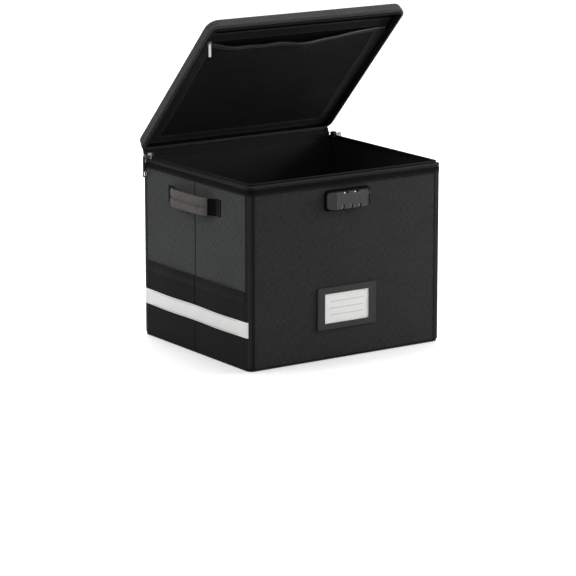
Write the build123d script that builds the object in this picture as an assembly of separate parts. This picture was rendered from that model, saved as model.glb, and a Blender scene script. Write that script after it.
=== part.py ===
from build123d import *
from math import cos, pi, sin
import os

# Storage box of cloth over board with a zipped lid on a cloth hinge.
# +X runs to the right along the front, +Y to the rear and +Z up.
# The origin is the centre of the underside. The lid is drawn open, as at rest.

# Body
BODY_W = 406.0
BODY_D = 342.0
RIM_Z = 330.0
CORNER_R = 12.0
CLOTH_T = 1.5
BOARD_T = 2.3
LINING_T = 1.0
BASE_BOARD_T = 3.0
WALL_DROP = 10.0
LINING_DROP = 12.0
CREASE_W = 1.4
CREASE_DEPTH = 0.7
FOLD_GAP = 3.0
PIPING_R = 2.4
PIPING_INSET = 1.5
PIPING_LIFT = 0.9
CONTACT_GAP = 0.05

# Rim band and corner bindings
BAND_OUT = 3.0
BAND_H = 16.0
BAND_ROUND = 2.0
BINDING_T = 0.8
BINDING_REACH = 13.0

# Zip round the sides and front
TAPE_T = 0.8
COIL_R = 1.5
COIL_GAP = 2.4
COIL_SEAT = 1.0
BODY_TAPE_DROP = 20.0
LID_TAPE_RISE = 12.0
ZIP_END_INSET = 1.0
STOP_R = 2.1
STOP_L = 2.0

# Zip slider and pull
SLIDER_L = 12.0
SLIDER_T = 1.0
SLIDER_CLEAR = 0.35
SLIDER_STOP_GAP = 1.0
POST_CLEAR = 0.35
POST_L = 4.4
EDGE_CLEAR = 0.45
LID_CLEAR = 0.7
BAIL_REACH = 12.4
BAIL_DROP = 2.0
BAIL_R = 0.9
EAR_T = 1.0
EAR_GAP = 3.4
EAR_H = 3.2
PULL_BORE_CLEAR = 0.08
PULL_BARREL_R = 1.9
PULL_BARREL_HALF = 2.9
PULL_W = 9.0
PULL_T = 1.6
PULL_L = 36.0
PULL_ROUND = 0.35
PULL_CORNER_R = 1.6
PULL_SLOT_W = 5.0
PULL_SLOT_L = 8.5
PULL_SLOT_EDGE = 2.2
PULL_EYE_W = 2.6
PULL_EYE_L = 6.0
PULL_EYE_DROP = 1.2

# Lid
LID_H = 22.0
LID_OUT = 3.0
LID_CORNER_R = 21.0
LID_ROUND = 3.0
LID_BOARD_T = 3.0
LID_BINDING_T = 0.8
LID_BINDING_UNDER = 1.1
LID_BINDING_H = 8.0
LID_OPEN = 46.0
HINGE_T = 1.0
HINGE_STRIP_H = 14.0
HINGE_STRIP_GAP = 5.0
HINGE_STRIP_END = 24.0
HINGE_TABS = 9
HINGE_TAB_GAP = 0.3

# Net pocket inside the lid
POCKET_ZIP_FROM_EDGE = 55.0
LID_PIPING_FROM_EDGE = 35.0
LID_PIPING_R = 1.3
LID_PIPING_END = 4.0
NET_COIL_R = 1.0
NET_COIL_GAP = 2.2
NET_COIL_DROP = 2.5
NET_TAPE_T = 0.6
NET_TAPE_W = 4.4
NET_ZIP_END = 5.0
NET_BORDER_T = 0.8
NET_BORDER_SIDE = 28.0
NET_BORDER_TOP = 7.0
NET_BORDER_HINGE = 22.0
NET_COLUMNS = 19
NET_ROWS = 14
NET_STRAND_W = 1.6
NET_T = 0.6
NET_SLIDER_L = 10.0
NET_SLIDER_PLATE = 0.9
NET_SLIDER_CLEAR = 0.35
NET_SLIDER_WRAP = 0.9
NET_SLIDER_START = 5.0
NET_BAIL_OUT = 1.6
NET_BAIL_R = 0.6
NET_EAR_T = 0.8
NET_EAR_GAP = 2.6
NET_PULL_W = 5.0
NET_PULL_T = 1.2
NET_PULL_L = 22.0
NET_PULL_R = 1.3
NET_PULL_HALF = 2.2

# Side pockets and stripes
POCKET_TOP_Z = 140.0
POCKET_T = 1.2
POCKET_BULGE = 3.0
POCKET_SEAM_H = 4.0
POCKET_TRIM = 0.2
HEM_H = 15.0
HEM_T = 0.5
STRIPE_Z = 60.0
STRIPE_H = 27.5
STRIPE_T = 0.6

# Side handles
HANDLE_Z = 273.0
STRAP_H = 30.0
STRAP_T = 1.6
STRAP_HALF = 84.0
HANDLE_BOW_HALF = 72.0
HANDLE_BOW_OUT = 17.0
HANDLE_BOW_FLAT = 6
GRIP_HALF = 57.0
GRIP_H = 32.0
GRIP_PAD_T = 2.4

# Label holder
LABEL_Z = 92.0
LABEL_W = 125.0
LABEL_H = 75.0
LABEL_WINDOW_W = 94.0
LABEL_WINDOW_H = 53.0
LABEL_T = 3.2
LABEL_RECESS_T = 2.0
LABEL_POCKET_W = 102.4
LABEL_POCKET_LAP = 5.0
LABEL_CORNER_R = 3.0
FILM_T = 0.4
FILM_FIT = 0.2
CARD_T = 0.8
CARD_GAP = 0.3
CARD_FIT = 0.4
CARD_H = 61.0

# Combination lock
LOCK_Z = 283.0
LOCK_W = 88.0
LOCK_H = 30.0
LOCK_T = 15.0
LOCK_FLAT_W = 62.0
LOCK_SIDE_T = 4.0
LOCK_WALL = 1.6
LOCK_CORNER_R = 6.0
SLOT_PITCH = 22.0
SLOT_CLEAR = 0.7
SLOT_T = 3.0
SLOT_FROM_FACE = 2.4
SLOT_LIP_DEPTH = 2.2
DIAL_PITCH = 17.5
DIAL_R = 6.0
DIAL_W = 5.0
DIAL_BEHIND = 1.2
DIAL_BELOW = 1.0
DIAL_SIDES = 10
DIAL_BORE_CLEAR = 0.06
DIAL_SIDE_CLEAR = 0.3
AXLE_R = 1.5
COLLAR_R = 2.6
RIB_X = 25.0
RIB_T = 2.0
BAR_Z = 7.5
BAR_H = 3.0
BAR_FROM_WALL = 4.0
BAR_T = 4.0
BAR_LEFT = 30.0
BAR_HOOK = 1.4
BUTTON_W = 4.0
BUTTON_CLEAR = 0.35
BUTTON_PROUD = 0.5
BUTTON_L = 12.0
SHELF_T = 0.8
SHELF_GAP = 0.3
SHELF_HALF = 22.0
SCREW_X = 33.0
SCREW_Z = -7.0
SCREW_R = 1.5
SCREW_HEAD_R = 3.0
SCREW_HEAD_T = 1.4
SCREW_GRIP = 7.0
BOSS_R = 3.2
BACK_PLATE_T = 1.2
BACK_PLATE_W = 80.0
BACK_PLATE_H = 26.0

# Depths of the wall's layers, counted inwards from the outside of the cloth
IN_BOARD = CLOTH_T
IN_TAPE = IN_BOARD + BOARD_T
IN_LINING = IN_TAPE + TAPE_T
IN_CLEAR = IN_LINING + LINING_T
IN_COIL = IN_TAPE + TAPE_T / 2

# Heights, counted up or down from the parting line
COIL_Z = COIL_GAP / 2 + COIL_R
SLIDER_BORE_R = COIL_R + SLIDER_CLEAR
SLIDER_LOW = COIL_Z + SLIDER_BORE_R + SLIDER_T
SLIDER_TOP = COIL_Z + COIL_R
BAND_TOP_Z = RIM_Z - SLIDER_LOW - EDGE_CLEAR
WALL_TOP_Z = RIM_Z - WALL_DROP
LID_BINDING_Z = SLIDER_TOP + LID_CLEAR
LID_EDGE_Z = LID_BINDING_Z + LID_BINDING_UNDER
WALL_FOOT_Z = PIPING_LIFT + 2 * PIPING_R + CONTACT_GAP

FRONT_Y = -BODY_D / 2
SIDE_X = BODY_W / 2
ZIP_END_Y = BODY_D / 2 - CORNER_R - ZIP_END_INSET
SLIDER_Y = ZIP_END_Y - SLIDER_STOP_GAP - SLIDER_L / 2
HINGE_Y = BODY_D / 2 + LID_OUT + LID_BINDING_T + HINGE_T / 2
HINGE_AXIS = Axis((0, HINGE_Y, RIM_Z), (-1, 0, 0))


def block(x0, x1, y0, y1, z0, z1):
    """A box between two opposite corners."""
    centre = Pos((x0 + x1) / 2, (y0 + y1) / 2, (z0 + z1) / 2)
    return centre * Box(x1 - x0, y1 - y0, z1 - z0)


def outline(inset, radius=None):
    """Plan of the box, moved inwards by inset from the outside of the cloth."""
    if radius is None:
        radius = CORNER_R - inset
    return RectangleRounded(BODY_W - 2 * inset, BODY_D - 2 * inset, radius)


def ring(outer, inner, z0, z1):
    """A wall between two plans, from z0 up to z1."""
    return Pos(0, 0, z0) * extrude(outer - inner, z1 - z0)


def slab(plan, z0, z1):
    """A flat piece with the given plan, from z0 up to z1."""
    return Pos(0, 0, z0) * extrude(plan, z1 - z0)


def opened(shape):
    """Turn a piece drawn with the lid shut to where it is with the lid open."""
    return shape.rotate(HINGE_AXIS, LID_OPEN)


def on_side(shape, side):
    """Keep a piece drawn for the right side, or mirror it to the left side."""
    return shape if side > 0 else mirror(shape, about=Plane.YZ)


def zipped(shape):
    """The part of a ring that the zip covers: the sides and the front."""
    return shape & block(-BODY_W, BODY_W, -BODY_D, ZIP_END_Y, 0, 2 * RIM_Z)


def walls(shape, side):
    """One wall of a ring, with its two corners cut on their diagonals."""
    reach = BODY_W + BODY_D
    x, y = SIDE_X, BODY_D / 2
    depth = 3 * CORNER_R
    if side in ("front", "rear"):
        way = -1 if side == "front" else 1
        points = [(-x - reach, way * (y + reach)), (x + reach, way * (y + reach))]
        points += [(x - depth, way * (y - depth)), (-x + depth, way * (y - depth))]
    else:
        way = -1 if side == "left" else 1
        points = [(way * (x + reach), -y - reach), (way * (x + reach), y + reach)]
        points += [(way * (x - depth), y - depth), (way * (x - depth), -y + depth)]
    wedge = make_face(Polyline(points, close=True))
    return shape & slab(wedge, -RIM_Z, 2 * RIM_Z)


def stepped_out(curve, thickness):
    """A curve of (x, y) points moved outwards along its normals."""
    outer = []
    for i, (x, y) in enumerate(curve):
        xa, ya = curve[max(i - 1, 0)]
        xb, yb = curve[min(i + 1, len(curve) - 1)]
        length = ((xb - xa) ** 2 + (yb - ya) ** 2) ** 0.5
        outer.append((x + thickness * (yb - ya) / length, y - thickness * (xb - xa) / length))
    return outer


def between(inner, outer, z0, z1):
    """An upright piece between two curves of (x, y) points."""
    edges = [Spline(*inner) if len(inner) > 2 else Line(*inner), Line(inner[-1], outer[-1])]
    edges += [Spline(*outer), Line(outer[0], inner[0])]
    return slab(make_face(edges), z0, z1)


def ribbon(inner, thickness, z0, z1):
    """An upright strip along a curve of (x, y) points, as thick as given outwards."""
    return between(inner, stepped_out(inner, thickness), z0, z1)


def cloth_wall(side):
    """Outer cloth of one wall."""
    return walls(ring(outline(0), outline(CLOTH_T), WALL_FOOT_Z, WALL_TOP_Z), side)


def cloth_side(side):
    """Outer cloth of a side wall, with the upright fold crease at its middle."""
    wall = cloth_wall("left" if side < 0 else "right")
    x = side * SIDE_X
    crease = block(x - CREASE_DEPTH, x + CREASE_DEPTH, -CREASE_W / 2, CREASE_W / 2, 0, RIM_Z)
    return wall - crease


def cloth_bottom():
    """Cloth under the base, inside the piping."""
    inset = PIPING_INSET + PIPING_R + CONTACT_GAP
    return slab(outline(inset), 0, CLOTH_T)


def board_face(way):
    """Board of the front or rear wall."""
    y_out = BODY_D / 2 - IN_BOARD
    x = SIDE_X - CORNER_R
    y0, y1 = sorted((way * y_out, way * (y_out - BOARD_T)))
    return block(-x, x, y0, y1, WALL_FOOT_Z, WALL_TOP_Z)


def board_side(side, way):
    """One of the two boards of a side wall, in front of or behind the fold."""
    x_out = SIDE_X - IN_BOARD
    x0, x1 = sorted((side * x_out, side * (x_out - BOARD_T)))
    y0, y1 = sorted((way * FOLD_GAP / 2, way * (BODY_D / 2 - CORNER_R)))
    return block(x0, x1, y0, y1, WALL_FOOT_Z, WALL_TOP_Z)


def board_base():
    """Board that stiffens the base."""
    inset = PIPING_INSET + PIPING_R + CONTACT_GAP
    return slab(outline(inset), CLOTH_T, CLOTH_T + BASE_BOARD_T)


def lining_walls():
    """Inner lining round the four walls."""
    low = CLOTH_T + BASE_BOARD_T
    return ring(outline(IN_LINING), outline(IN_CLEAR), low, RIM_Z - LINING_DROP)


def lining_floor():
    """Lining over the base board."""
    low = CLOTH_T + BASE_BOARD_T
    return slab(outline(IN_CLEAR + CONTACT_GAP), low, low + LINING_T)


def piping_bottom():
    """Corded seam round the bottom edge."""
    plan = Pos(0, 0, PIPING_R + PIPING_LIFT) * outline(PIPING_INSET)
    path = plan.wire()
    profile = Plane(origin=path @ 0, z_dir=path % 0) * Circle(PIPING_R)
    return sweep(profile, path=path)


def rim_band():
    """Folded band over the top edge of the walls."""
    outer = outline(-BAND_OUT)
    leg = ring(outer, outline(0), BAND_TOP_Z - BAND_H, WALL_TOP_Z)
    cap = ring(outer, outline(IN_TAPE - 2 * CONTACT_GAP), WALL_TOP_Z, BAND_TOP_Z)
    band = leg + cap
    top = band.faces().sort_by(Axis.Z)[-1].outer_wire().edges()
    return fillet(top, BAND_ROUND)


def corner_bindings():
    """Folded strips over the four upright corner seams."""
    strip = ring(outline(-BINDING_T), outline(0), WALL_FOOT_Z, BAND_TOP_Z - BAND_H)
    x, y = SIDE_X - BINDING_REACH, BODY_D / 2 - BINDING_REACH
    strip -= block(-x, x, -BODY_D, BODY_D, 0, RIM_Z)
    return strip - block(-BODY_W, BODY_W, -y, y, 0, RIM_Z)


def zip_tape(z0, z1):
    """Zip tape standing in the wall, round the sides and the front."""
    return zipped(ring(outline(IN_TAPE), outline(IN_LINING), z0, z1))


def zip_coil(z, tape):
    """Zip coil along the edge of its tape."""
    x, y = SIDE_X - IN_COIL, BODY_D / 2 - IN_COIL
    corners = [(-x, ZIP_END_Y, z), (-x, -y, z), (x, -y, z), (x, ZIP_END_Y, z)]
    path = FilletPolyline(*corners, radius=CORNER_R - IN_COIL)
    profile = Plane(origin=corners[0], z_dir=(0, -1, 0)) * Circle(COIL_R)
    return sweep(profile, path=path) - tape


def zip_stops(z):
    """Metal stops on the two rear ends of a coil."""
    stop = Rot(-90, 0, 0) * Cylinder(STOP_R, STOP_L)
    y = ZIP_END_Y + STOP_L / 2
    return [Pos(way * (SIDE_X - IN_COIL), y, z) * stop for way in (-1, 1)]


def slider(side):
    """Zip slider: closed round the body's coil, open above for the lid's coil."""
    half = SLIDER_BORE_R + SLIDER_T
    run = SLIDER_L / 2
    shape = block(-half, half, -run, run, -SLIDER_LOW, SLIDER_TOP)
    shape = fillet(shape.edges().filter_by(Axis.Z), SLIDER_T)
    shape -= Pos(0, 0, -COIL_Z) * Rot(90, 0, 0) * Cylinder(SLIDER_BORE_R, 2 * SLIDER_L)
    slot = TAPE_T / 2 + SLIDER_CLEAR
    shape -= block(-slot, slot, -SLIDER_L, SLIDER_L, -2 * SLIDER_LOW, -COIL_Z)
    post = COIL_GAP / 2 - POST_CLEAR
    bore = SLIDER_BORE_R
    shape -= block(-bore, bore, -SLIDER_L, SLIDER_L, post, 2 * SLIDER_TOP)
    for way in (-1, 1):
        y0, y1 = sorted((way * POST_L / 2, way * SLIDER_L))
        shape -= block(-bore, bore, y0, y1, -COIL_Z, SLIDER_TOP)
    for way in (-1, 1):
        y0, y1 = sorted((way * EAR_GAP, way * (EAR_GAP + EAR_T)))
        z0, z1 = -BAIL_DROP - EAR_H / 2, -BAIL_DROP + EAR_H / 2
        ear = block(bore, BAIL_REACH, y0, y1, z0, z1)
        tip = Pos(BAIL_REACH, (y0 + y1) / 2, -BAIL_DROP) * Rot(90, 0, 0) * Cylinder(EAR_H / 2, EAR_T)
        shape += ear + tip
    bar = Pos(BAIL_REACH, 0, -BAIL_DROP) * Rot(90, 0, 0) * Cylinder(BAIL_R, 2 * EAR_GAP + EAR_T)
    shape += bar
    return on_side(Pos(SIDE_X - IN_COIL, SLIDER_Y, RIM_Z) * shape, side)


def pull(side):
    """Zip pull: a slotted plate that hangs from the slider's bar, its face along the zip."""
    half = PULL_W / 2
    plate = block(-half, half, -PULL_T / 2, PULL_T / 2, -PULL_L, 0)
    plate = fillet(plate.edges().filter_by(Axis.Y).group_by(Axis.Z)[0], PULL_CORNER_R)
    plate += Rot(90, 0, 0) * Cylinder(half, PULL_T)
    plate = fillet([plate.faces().sort_by(Axis.Y)[i].edges() for i in (0, -1)], PULL_ROUND)
    shape = plate + Rot(90, 0, 0) * Cylinder(PULL_BARREL_R, 2 * PULL_BARREL_HALF)
    shape -= Rot(90, 0, 0) * Cylinder(BAIL_R + PULL_BORE_CLEAR, 3 * PULL_W)
    slot_mid = -PULL_L + PULL_SLOT_EDGE + PULL_SLOT_L / 2
    eye_mid = -PULL_BARREL_R - PULL_EYE_DROP - PULL_EYE_L / 2
    for middle, long, wide in ((slot_mid, PULL_SLOT_L, PULL_SLOT_W), (eye_mid, PULL_EYE_L, PULL_EYE_W)):
        hole = Plane.XZ * SlotOverall(long, wide, rotation=90)
        shape -= Pos(0, 0, middle) * extrude(hole, PULL_T, both=True)
    place = Pos(SIDE_X - IN_COIL + BAIL_REACH, SLIDER_Y, RIM_Z - BAIL_DROP)
    return on_side(place * shape, side)


def lid_plan(inset):
    """Plan of the lid, moved inwards by inset from the outside of its cloth."""
    return outline(inset - LID_OUT, LID_CORNER_R - inset)


def lid_shell():
    """Outer cloth of the lid: its top and the skirt round it."""
    top = RIM_Z + LID_H
    shell = slab(lid_plan(0), RIM_Z + LID_EDGE_Z, top)
    shell = fillet(shell.faces().sort_by(Axis.Z)[-1].edges(), LID_ROUND)
    return shell - slab(lid_plan(CLOTH_T), RIM_Z, top - CLOTH_T)


def lid_board():
    """Board under the top of the lid."""
    top = RIM_Z + LID_H - CLOTH_T
    return slab(lid_plan(CLOTH_T), top - LID_BOARD_T, top)


def lid_edge_strip():
    """Foam strip inside the lid's skirt."""
    top = RIM_Z + LID_H - CLOTH_T - LID_BOARD_T
    inner = outline(IN_TAPE - LINING_T, CORNER_R - IN_TAPE + LINING_T)
    return ring(lid_plan(CLOTH_T), inner, RIM_Z + LID_EDGE_Z, top)


def lid_lining():
    """Lining inside the lid, up its skirt and over its board."""
    top = RIM_Z + LID_H - CLOTH_T - LID_BOARD_T
    outer = outline(IN_TAPE - LINING_T, CORNER_R - IN_TAPE + LINING_T)
    tray = slab(outer, RIM_Z + LID_EDGE_Z, top)
    return tray - slab(outline(IN_TAPE), RIM_Z, top - LINING_T)


def lid_binding():
    """Folded strip round the lower edge of the lid's skirt."""
    low = RIM_Z + LID_BINDING_Z
    foot = ring(lid_plan(-LID_BINDING_T), outline(IN_TAPE), low, RIM_Z + LID_EDGE_Z)
    leg = ring(lid_plan(-LID_BINDING_T), lid_plan(0), low, low + LID_BINDING_H)
    return foot + leg


def hinge_strip(way):
    """One sewn edge of the cloth hinge, with tabs that reach the fold line.

    The body's edge is way -1, on the rim band. The lid's is way 1, on its skirt.
    Tabs of the two edges take turns along the fold, so that they never meet.
    """
    y_out = BODY_D / 2 + BAND_OUT if way < 0 else HINGE_Y - HINGE_T / 2
    z0, z1 = sorted((RIM_Z + way * HINGE_STRIP_GAP, RIM_Z + way * HINGE_STRIP_H))
    x = SIDE_X - HINGE_STRIP_END
    strip = block(-x, x, y_out, y_out + HINGE_T, z0, z1)
    pitch = 2 * x / HINGE_TABS
    first = 0 if way < 0 else 1
    half = HINGE_T / 2
    seat = RIM_Z + way * HINGE_STRIP_GAP
    corners = [(HINGE_Y - half, RIM_Z), (HINGE_Y + half, RIM_Z), (y_out + HINGE_T, seat), (y_out, seat)]
    tab = make_face(Plane.YZ * Polyline(corners, close=True)) + Plane.YZ * Pos(HINGE_Y, RIM_Z) * Circle(half)
    for i in range(first, HINGE_TABS, 2):
        strip += Pos((i + 0.5) * pitch - x, 0, 0) * extrude(tab, (pitch - HINGE_TAB_GAP) / 2, both=True)
    return strip


LID_CEILING = RIM_Z + LID_H - CLOTH_T - LID_BOARD_T - LINING_T
NET_Z = LID_CEILING - NET_COIL_DROP
NET_ZIP_Y = FRONT_Y - LID_OUT + POCKET_ZIP_FROM_EDGE
NET_COIL_Y = NET_COIL_GAP / 2 + NET_COIL_R
NET_EDGE_X = SIDE_X - IN_TAPE
NET_EDGE_Y = BODY_D / 2 - IN_TAPE
NET_ZIP_X = NET_EDGE_X - NET_ZIP_END
NET_BORDER_Y = NET_ZIP_Y + NET_COIL_Y + NET_TAPE_W
NET_LOW_Y = NET_BORDER_Y + NET_BORDER_TOP
NET_HIGH_Y = NET_EDGE_Y - NET_BORDER_HINGE
NET_HALF_X = NET_EDGE_X - NET_BORDER_SIDE


def lid_piping():
    """Cord sewn across the lid's lining in front of the pocket."""
    y = FRONT_Y - LID_OUT + LID_PIPING_FROM_EDGE
    length = 2 * (NET_EDGE_X - LID_PIPING_END)
    return Pos(0, y, LID_CEILING - LID_PIPING_R) * Rot(0, 90, 0) * Cylinder(LID_PIPING_R, length)


def net_tape(way):
    """Tape on one side of the pocket's zip: -1 to the lid's edge, 1 to the net."""
    y_coil = NET_ZIP_Y + way * (NET_COIL_Y + NET_COIL_R / 2)
    piping_y = FRONT_Y - LID_OUT + LID_PIPING_FROM_EDGE
    y_far = piping_y + LID_PIPING_R - 6 * CONTACT_GAP if way < 0 else NET_BORDER_Y
    y0, y1 = sorted((y_coil, y_far))
    return block(-NET_ZIP_X, NET_ZIP_X, y0, y1, NET_Z - NET_TAPE_T / 2, NET_Z + NET_TAPE_T / 2)


def net_coil(way):
    """One coil of the pocket's zip."""
    coil = Rot(0, 90, 0) * Cylinder(NET_COIL_R, 2 * NET_ZIP_X)
    return Pos(0, NET_ZIP_Y + way * NET_COIL_Y, NET_Z) * coil - net_tape(way)


def net_border():
    """Cloth border sewn round the net."""
    plan = outline(IN_TAPE) & Pos(0, BODY_D) * Rectangle(2 * BODY_W, 2 * (BODY_D - NET_BORDER_Y))
    middle = Pos(0, (NET_LOW_Y + NET_HIGH_Y) / 2)
    plan -= middle * Rectangle(2 * NET_HALF_X, NET_HIGH_Y - NET_LOW_Y)
    return slab(plan, NET_Z - NET_BORDER_T / 2, NET_Z + NET_BORDER_T / 2)


def net_panel():
    """Net of the pocket, as one holed face."""
    width, depth = 2 * NET_HALF_X, NET_HIGH_Y - NET_LOW_Y
    dx, dy = width / NET_COLUMNS, depth / NET_ROWS
    hole = Rectangle(dx - NET_STRAND_W, dy - NET_STRAND_W)
    net = Rectangle(width, depth) - GridLocations(dx, dy, NET_COLUMNS, NET_ROWS) * hole
    net = Pos(0, (NET_LOW_Y + NET_HIGH_Y) / 2) * net
    return slab(net, NET_Z - NET_T / 2, NET_Z + NET_T / 2)


NET_SLIDER_X = -NET_ZIP_X + NET_SLIDER_START + NET_SLIDER_L / 2
NET_SLIDER_IN = NET_COIL_R + NET_SLIDER_CLEAR
NET_SLIDER_OUT = NET_SLIDER_IN + NET_SLIDER_PLATE
NET_BAIL_Z = NET_Z - NET_SLIDER_OUT - NET_BAIL_OUT


def net_slider():
    """Slider of the pocket's zip: two plates round both coils, joined by a post."""
    run = NET_SLIDER_L / 2
    inside = NET_COIL_Y + NET_COIL_R + NET_SLIDER_CLEAR
    outside = inside + NET_SLIDER_WRAP
    post = NET_COIL_GAP / 2 - NET_SLIDER_CLEAR
    tape = NET_TAPE_T / 2 + NET_SLIDER_CLEAR
    shape = block(-run, run, -outside, outside, -NET_SLIDER_OUT, NET_SLIDER_OUT)
    shape = fillet(shape.edges().filter_by(Axis.Z), NET_SLIDER_WRAP)
    tunnel = block(-2 * run, 2 * run, -inside, inside, -NET_SLIDER_IN, NET_SLIDER_IN)
    tunnel -= block(-2 * run, 2 * run, -post, post, -NET_SLIDER_IN, NET_SLIDER_IN)
    shape -= tunnel
    shape -= block(-2 * run, 2 * run, -2 * outside, -post, -tape, tape)
    shape -= block(-2 * run, 2 * run, post, 2 * outside, -tape, tape)
    z_bail = NET_BAIL_Z - NET_Z
    for way in (-1, 1):
        x0, x1 = sorted((way * NET_EAR_GAP, way * (NET_EAR_GAP + NET_EAR_T)))
        shape += block(x0, x1, -NET_PULL_R, NET_PULL_R, z_bail - NET_BAIL_R, -NET_SLIDER_IN)
    bar = Rot(0, 90, 0) * Cylinder(NET_BAIL_R, 2 * NET_EAR_GAP + NET_EAR_T)
    shape += Pos(0, 0, z_bail) * bar
    return Pos(NET_SLIDER_X, NET_ZIP_Y, NET_Z) * shape


def net_pull():
    """Pull of the pocket's slider, hanging straight down with the lid open."""
    knuckle = Rot(0, 90, 0) * Cylinder(NET_PULL_R, 2 * NET_PULL_HALF)
    neck = -NET_PULL_R - NET_PULL_W / 2
    plate = block(-NET_PULL_HALF, NET_PULL_HALF, -NET_PULL_T / 2, NET_PULL_T / 2, neck, 0)
    leaf = block(-NET_PULL_W / 2, NET_PULL_W / 2, -NET_PULL_T / 2, NET_PULL_T / 2, -NET_PULL_L, neck)
    leaf = fillet(leaf.edges().filter_by(Axis.Y), NET_PULL_W / 2 - NET_PULL_HALF)
    shape = knuckle + plate + leaf
    shape -= Rot(0, 90, 0) * Cylinder(NET_BAIL_R + PULL_BORE_CLEAR, 2 * NET_PULL_W)
    bar = opened(Pos(NET_SLIDER_X, NET_ZIP_Y, NET_BAIL_Z) * Box(1, 1, 1)).center()
    return Pos(bar.X, bar.Y, bar.Z) * shape


def bulge(y):
    """How far a side pocket stands out from the wall at depth y."""
    start = CREASE_W
    end = BODY_D / 2 - BINDING_REACH - CONTACT_GAP
    share = min(max((abs(y) - start) / (end - start), 0), 1)
    return POCKET_BULGE * sin(pi * share) ** 2


def pocket_curve(y0, y1, out, steps=16):
    """Points along one half of a side pocket, out from the wall by the given step."""
    rows = [y0 + (y1 - y0) * i / steps for i in range(steps + 1)]
    return [(SIDE_X + CONTACT_GAP + out + bulge(y), y) for y in rows]


def halves(trim):
    """The two stretches of a side wall, in front of and behind the crease."""
    end = BODY_D / 2 - BINDING_REACH - CONTACT_GAP
    return [(trim - end, -CREASE_W / 2 - trim), (CREASE_W / 2 + trim, end - trim)]


def side_pocket(side):
    """Patch pocket over the lower part of a side wall, open at its top."""
    shapes = []
    for y0, y1 in halves(POCKET_TRIM):
        curve = pocket_curve(y0, y1, 0)
        outer = stepped_out(curve, POCKET_T)
        panel = between(curve, outer, WALL_FOOT_Z, POCKET_TOP_Z)
        hem = ribbon(outer, HEM_T, POCKET_TOP_Z - HEM_H, POCKET_TOP_Z)
        wall = [(SIDE_X + CONTACT_GAP, curve[0][1]), (SIDE_X + CONTACT_GAP, curve[-1][1])]
        foot = between(wall, outer, WALL_FOOT_Z, WALL_FOOT_Z + POCKET_SEAM_H)
        shapes.append(on_side(panel + hem + foot, side))
    return shapes


def stripe(side):
    """Light band sewn across a side pocket and round to the corner seams."""
    shapes = []
    for y0, y1 in halves(0):
        curve = pocket_curve(y0, y1, POCKET_T + CONTACT_GAP)
        shapes.append(ribbon(curve, STRIPE_T, STRIPE_Z, STRIPE_Z + STRIPE_H))
    out = BINDING_T + CONTACT_GAP
    corner = ring(outline(-out - STRIPE_T), outline(-out), STRIPE_Z, STRIPE_Z + STRIPE_H)
    corner = walls(corner, "right")
    reach = BODY_D / 2 - BINDING_REACH - CONTACT_GAP
    corner -= block(0, BODY_W, -reach, reach, 0, RIM_Z)
    joined = shapes[0] + shapes[1] + corner
    return on_side(joined, side)


def handle_bow(y):
    """How far a handle stands out from the wall at depth y."""
    share = min(abs(y) / HANDLE_BOW_HALF, 1)
    return HANDLE_BOW_OUT * (1 - share ** HANDLE_BOW_FLAT) ** 2


def handle_curve(half, out, steps=56):
    """Points along a handle over its half length, out by the given step."""
    points = []
    for i in range(steps + 1):
        y = -half + 2 * half * i / steps
        slope = (handle_bow(y + 0.1) - handle_bow(y - 0.1)) / 0.2
        length = (1 + slope * slope) ** 0.5
        points.append((SIDE_X + CONTACT_GAP + handle_bow(y) + out / length, y - out * slope / length))
    return points


def handle_strap(side):
    """Webbing of a handle, sewn flat to the wall at both ends."""
    z0, z1 = HANDLE_Z - STRAP_H / 2, HANDLE_Z + STRAP_H / 2
    return on_side(ribbon(handle_curve(STRAP_HALF, 0), STRAP_T, z0, z1), side)


def handle_grip(side):
    """Padded wrap round the middle of the webbing."""
    z0, z1 = HANDLE_Z - GRIP_H / 2, HANDLE_Z + GRIP_H / 2
    thick = STRAP_T + 2 * GRIP_PAD_T
    pad = ribbon(handle_curve(GRIP_HALF, -GRIP_PAD_T), thick, z0, z1)
    strap = ribbon(handle_curve(STRAP_HALF, -CONTACT_GAP), STRAP_T + 2 * CONTACT_GAP,
                   HANDLE_Z - STRAP_H / 2 - CONTACT_GAP, HANDLE_Z + STRAP_H / 2 + CONTACT_GAP)
    return on_side(pad - strap, side)


LABEL_PLANE = Plane(origin=(0, FRONT_Y, LABEL_Z), x_dir=(1, 0, 0), z_dir=(0, -1, 0))
LOCK_PLANE = Plane(origin=(0, FRONT_Y, LOCK_Z), x_dir=(1, 0, 0), z_dir=(0, -1, 0))


def label_floor():
    """Height of the bottom of the label's pocket, from the label's middle."""
    return -LABEL_WINDOW_H / 2 - LABEL_POCKET_LAP


def label_frame():
    """Raised frame that holds the label, open at its top behind the lip."""
    frame = extrude(RectangleRounded(LABEL_W, LABEL_H, LABEL_CORNER_R), LABEL_T)
    frame = chamfer(frame.faces().sort_by(Axis.Z)[-1].edges(), LABEL_T / 3)
    frame -= extrude(Rectangle(LABEL_WINDOW_W, LABEL_WINDOW_H), LABEL_T)
    half = LABEL_POCKET_W / 2
    frame -= block(-half, half, label_floor(), LABEL_H, -LABEL_T, LABEL_RECESS_T)
    return LABEL_PLANE * frame


def label_film():
    """Clear film behind the frame's lip."""
    half = LABEL_POCKET_W / 2 - FILM_FIT
    z1 = LABEL_RECESS_T - CONTACT_GAP
    film = block(-half, half, label_floor() + CONTACT_GAP, -label_floor(), z1 - FILM_T, z1)
    return LABEL_PLANE * film


def label_card():
    """Card that slides up out of the frame."""
    half = LABEL_POCKET_W / 2 - CARD_FIT
    low = label_floor() + CARD_GAP
    return LABEL_PLANE * block(-half, half, low, low + CARD_H, CARD_GAP, CARD_GAP + CARD_T)


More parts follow.
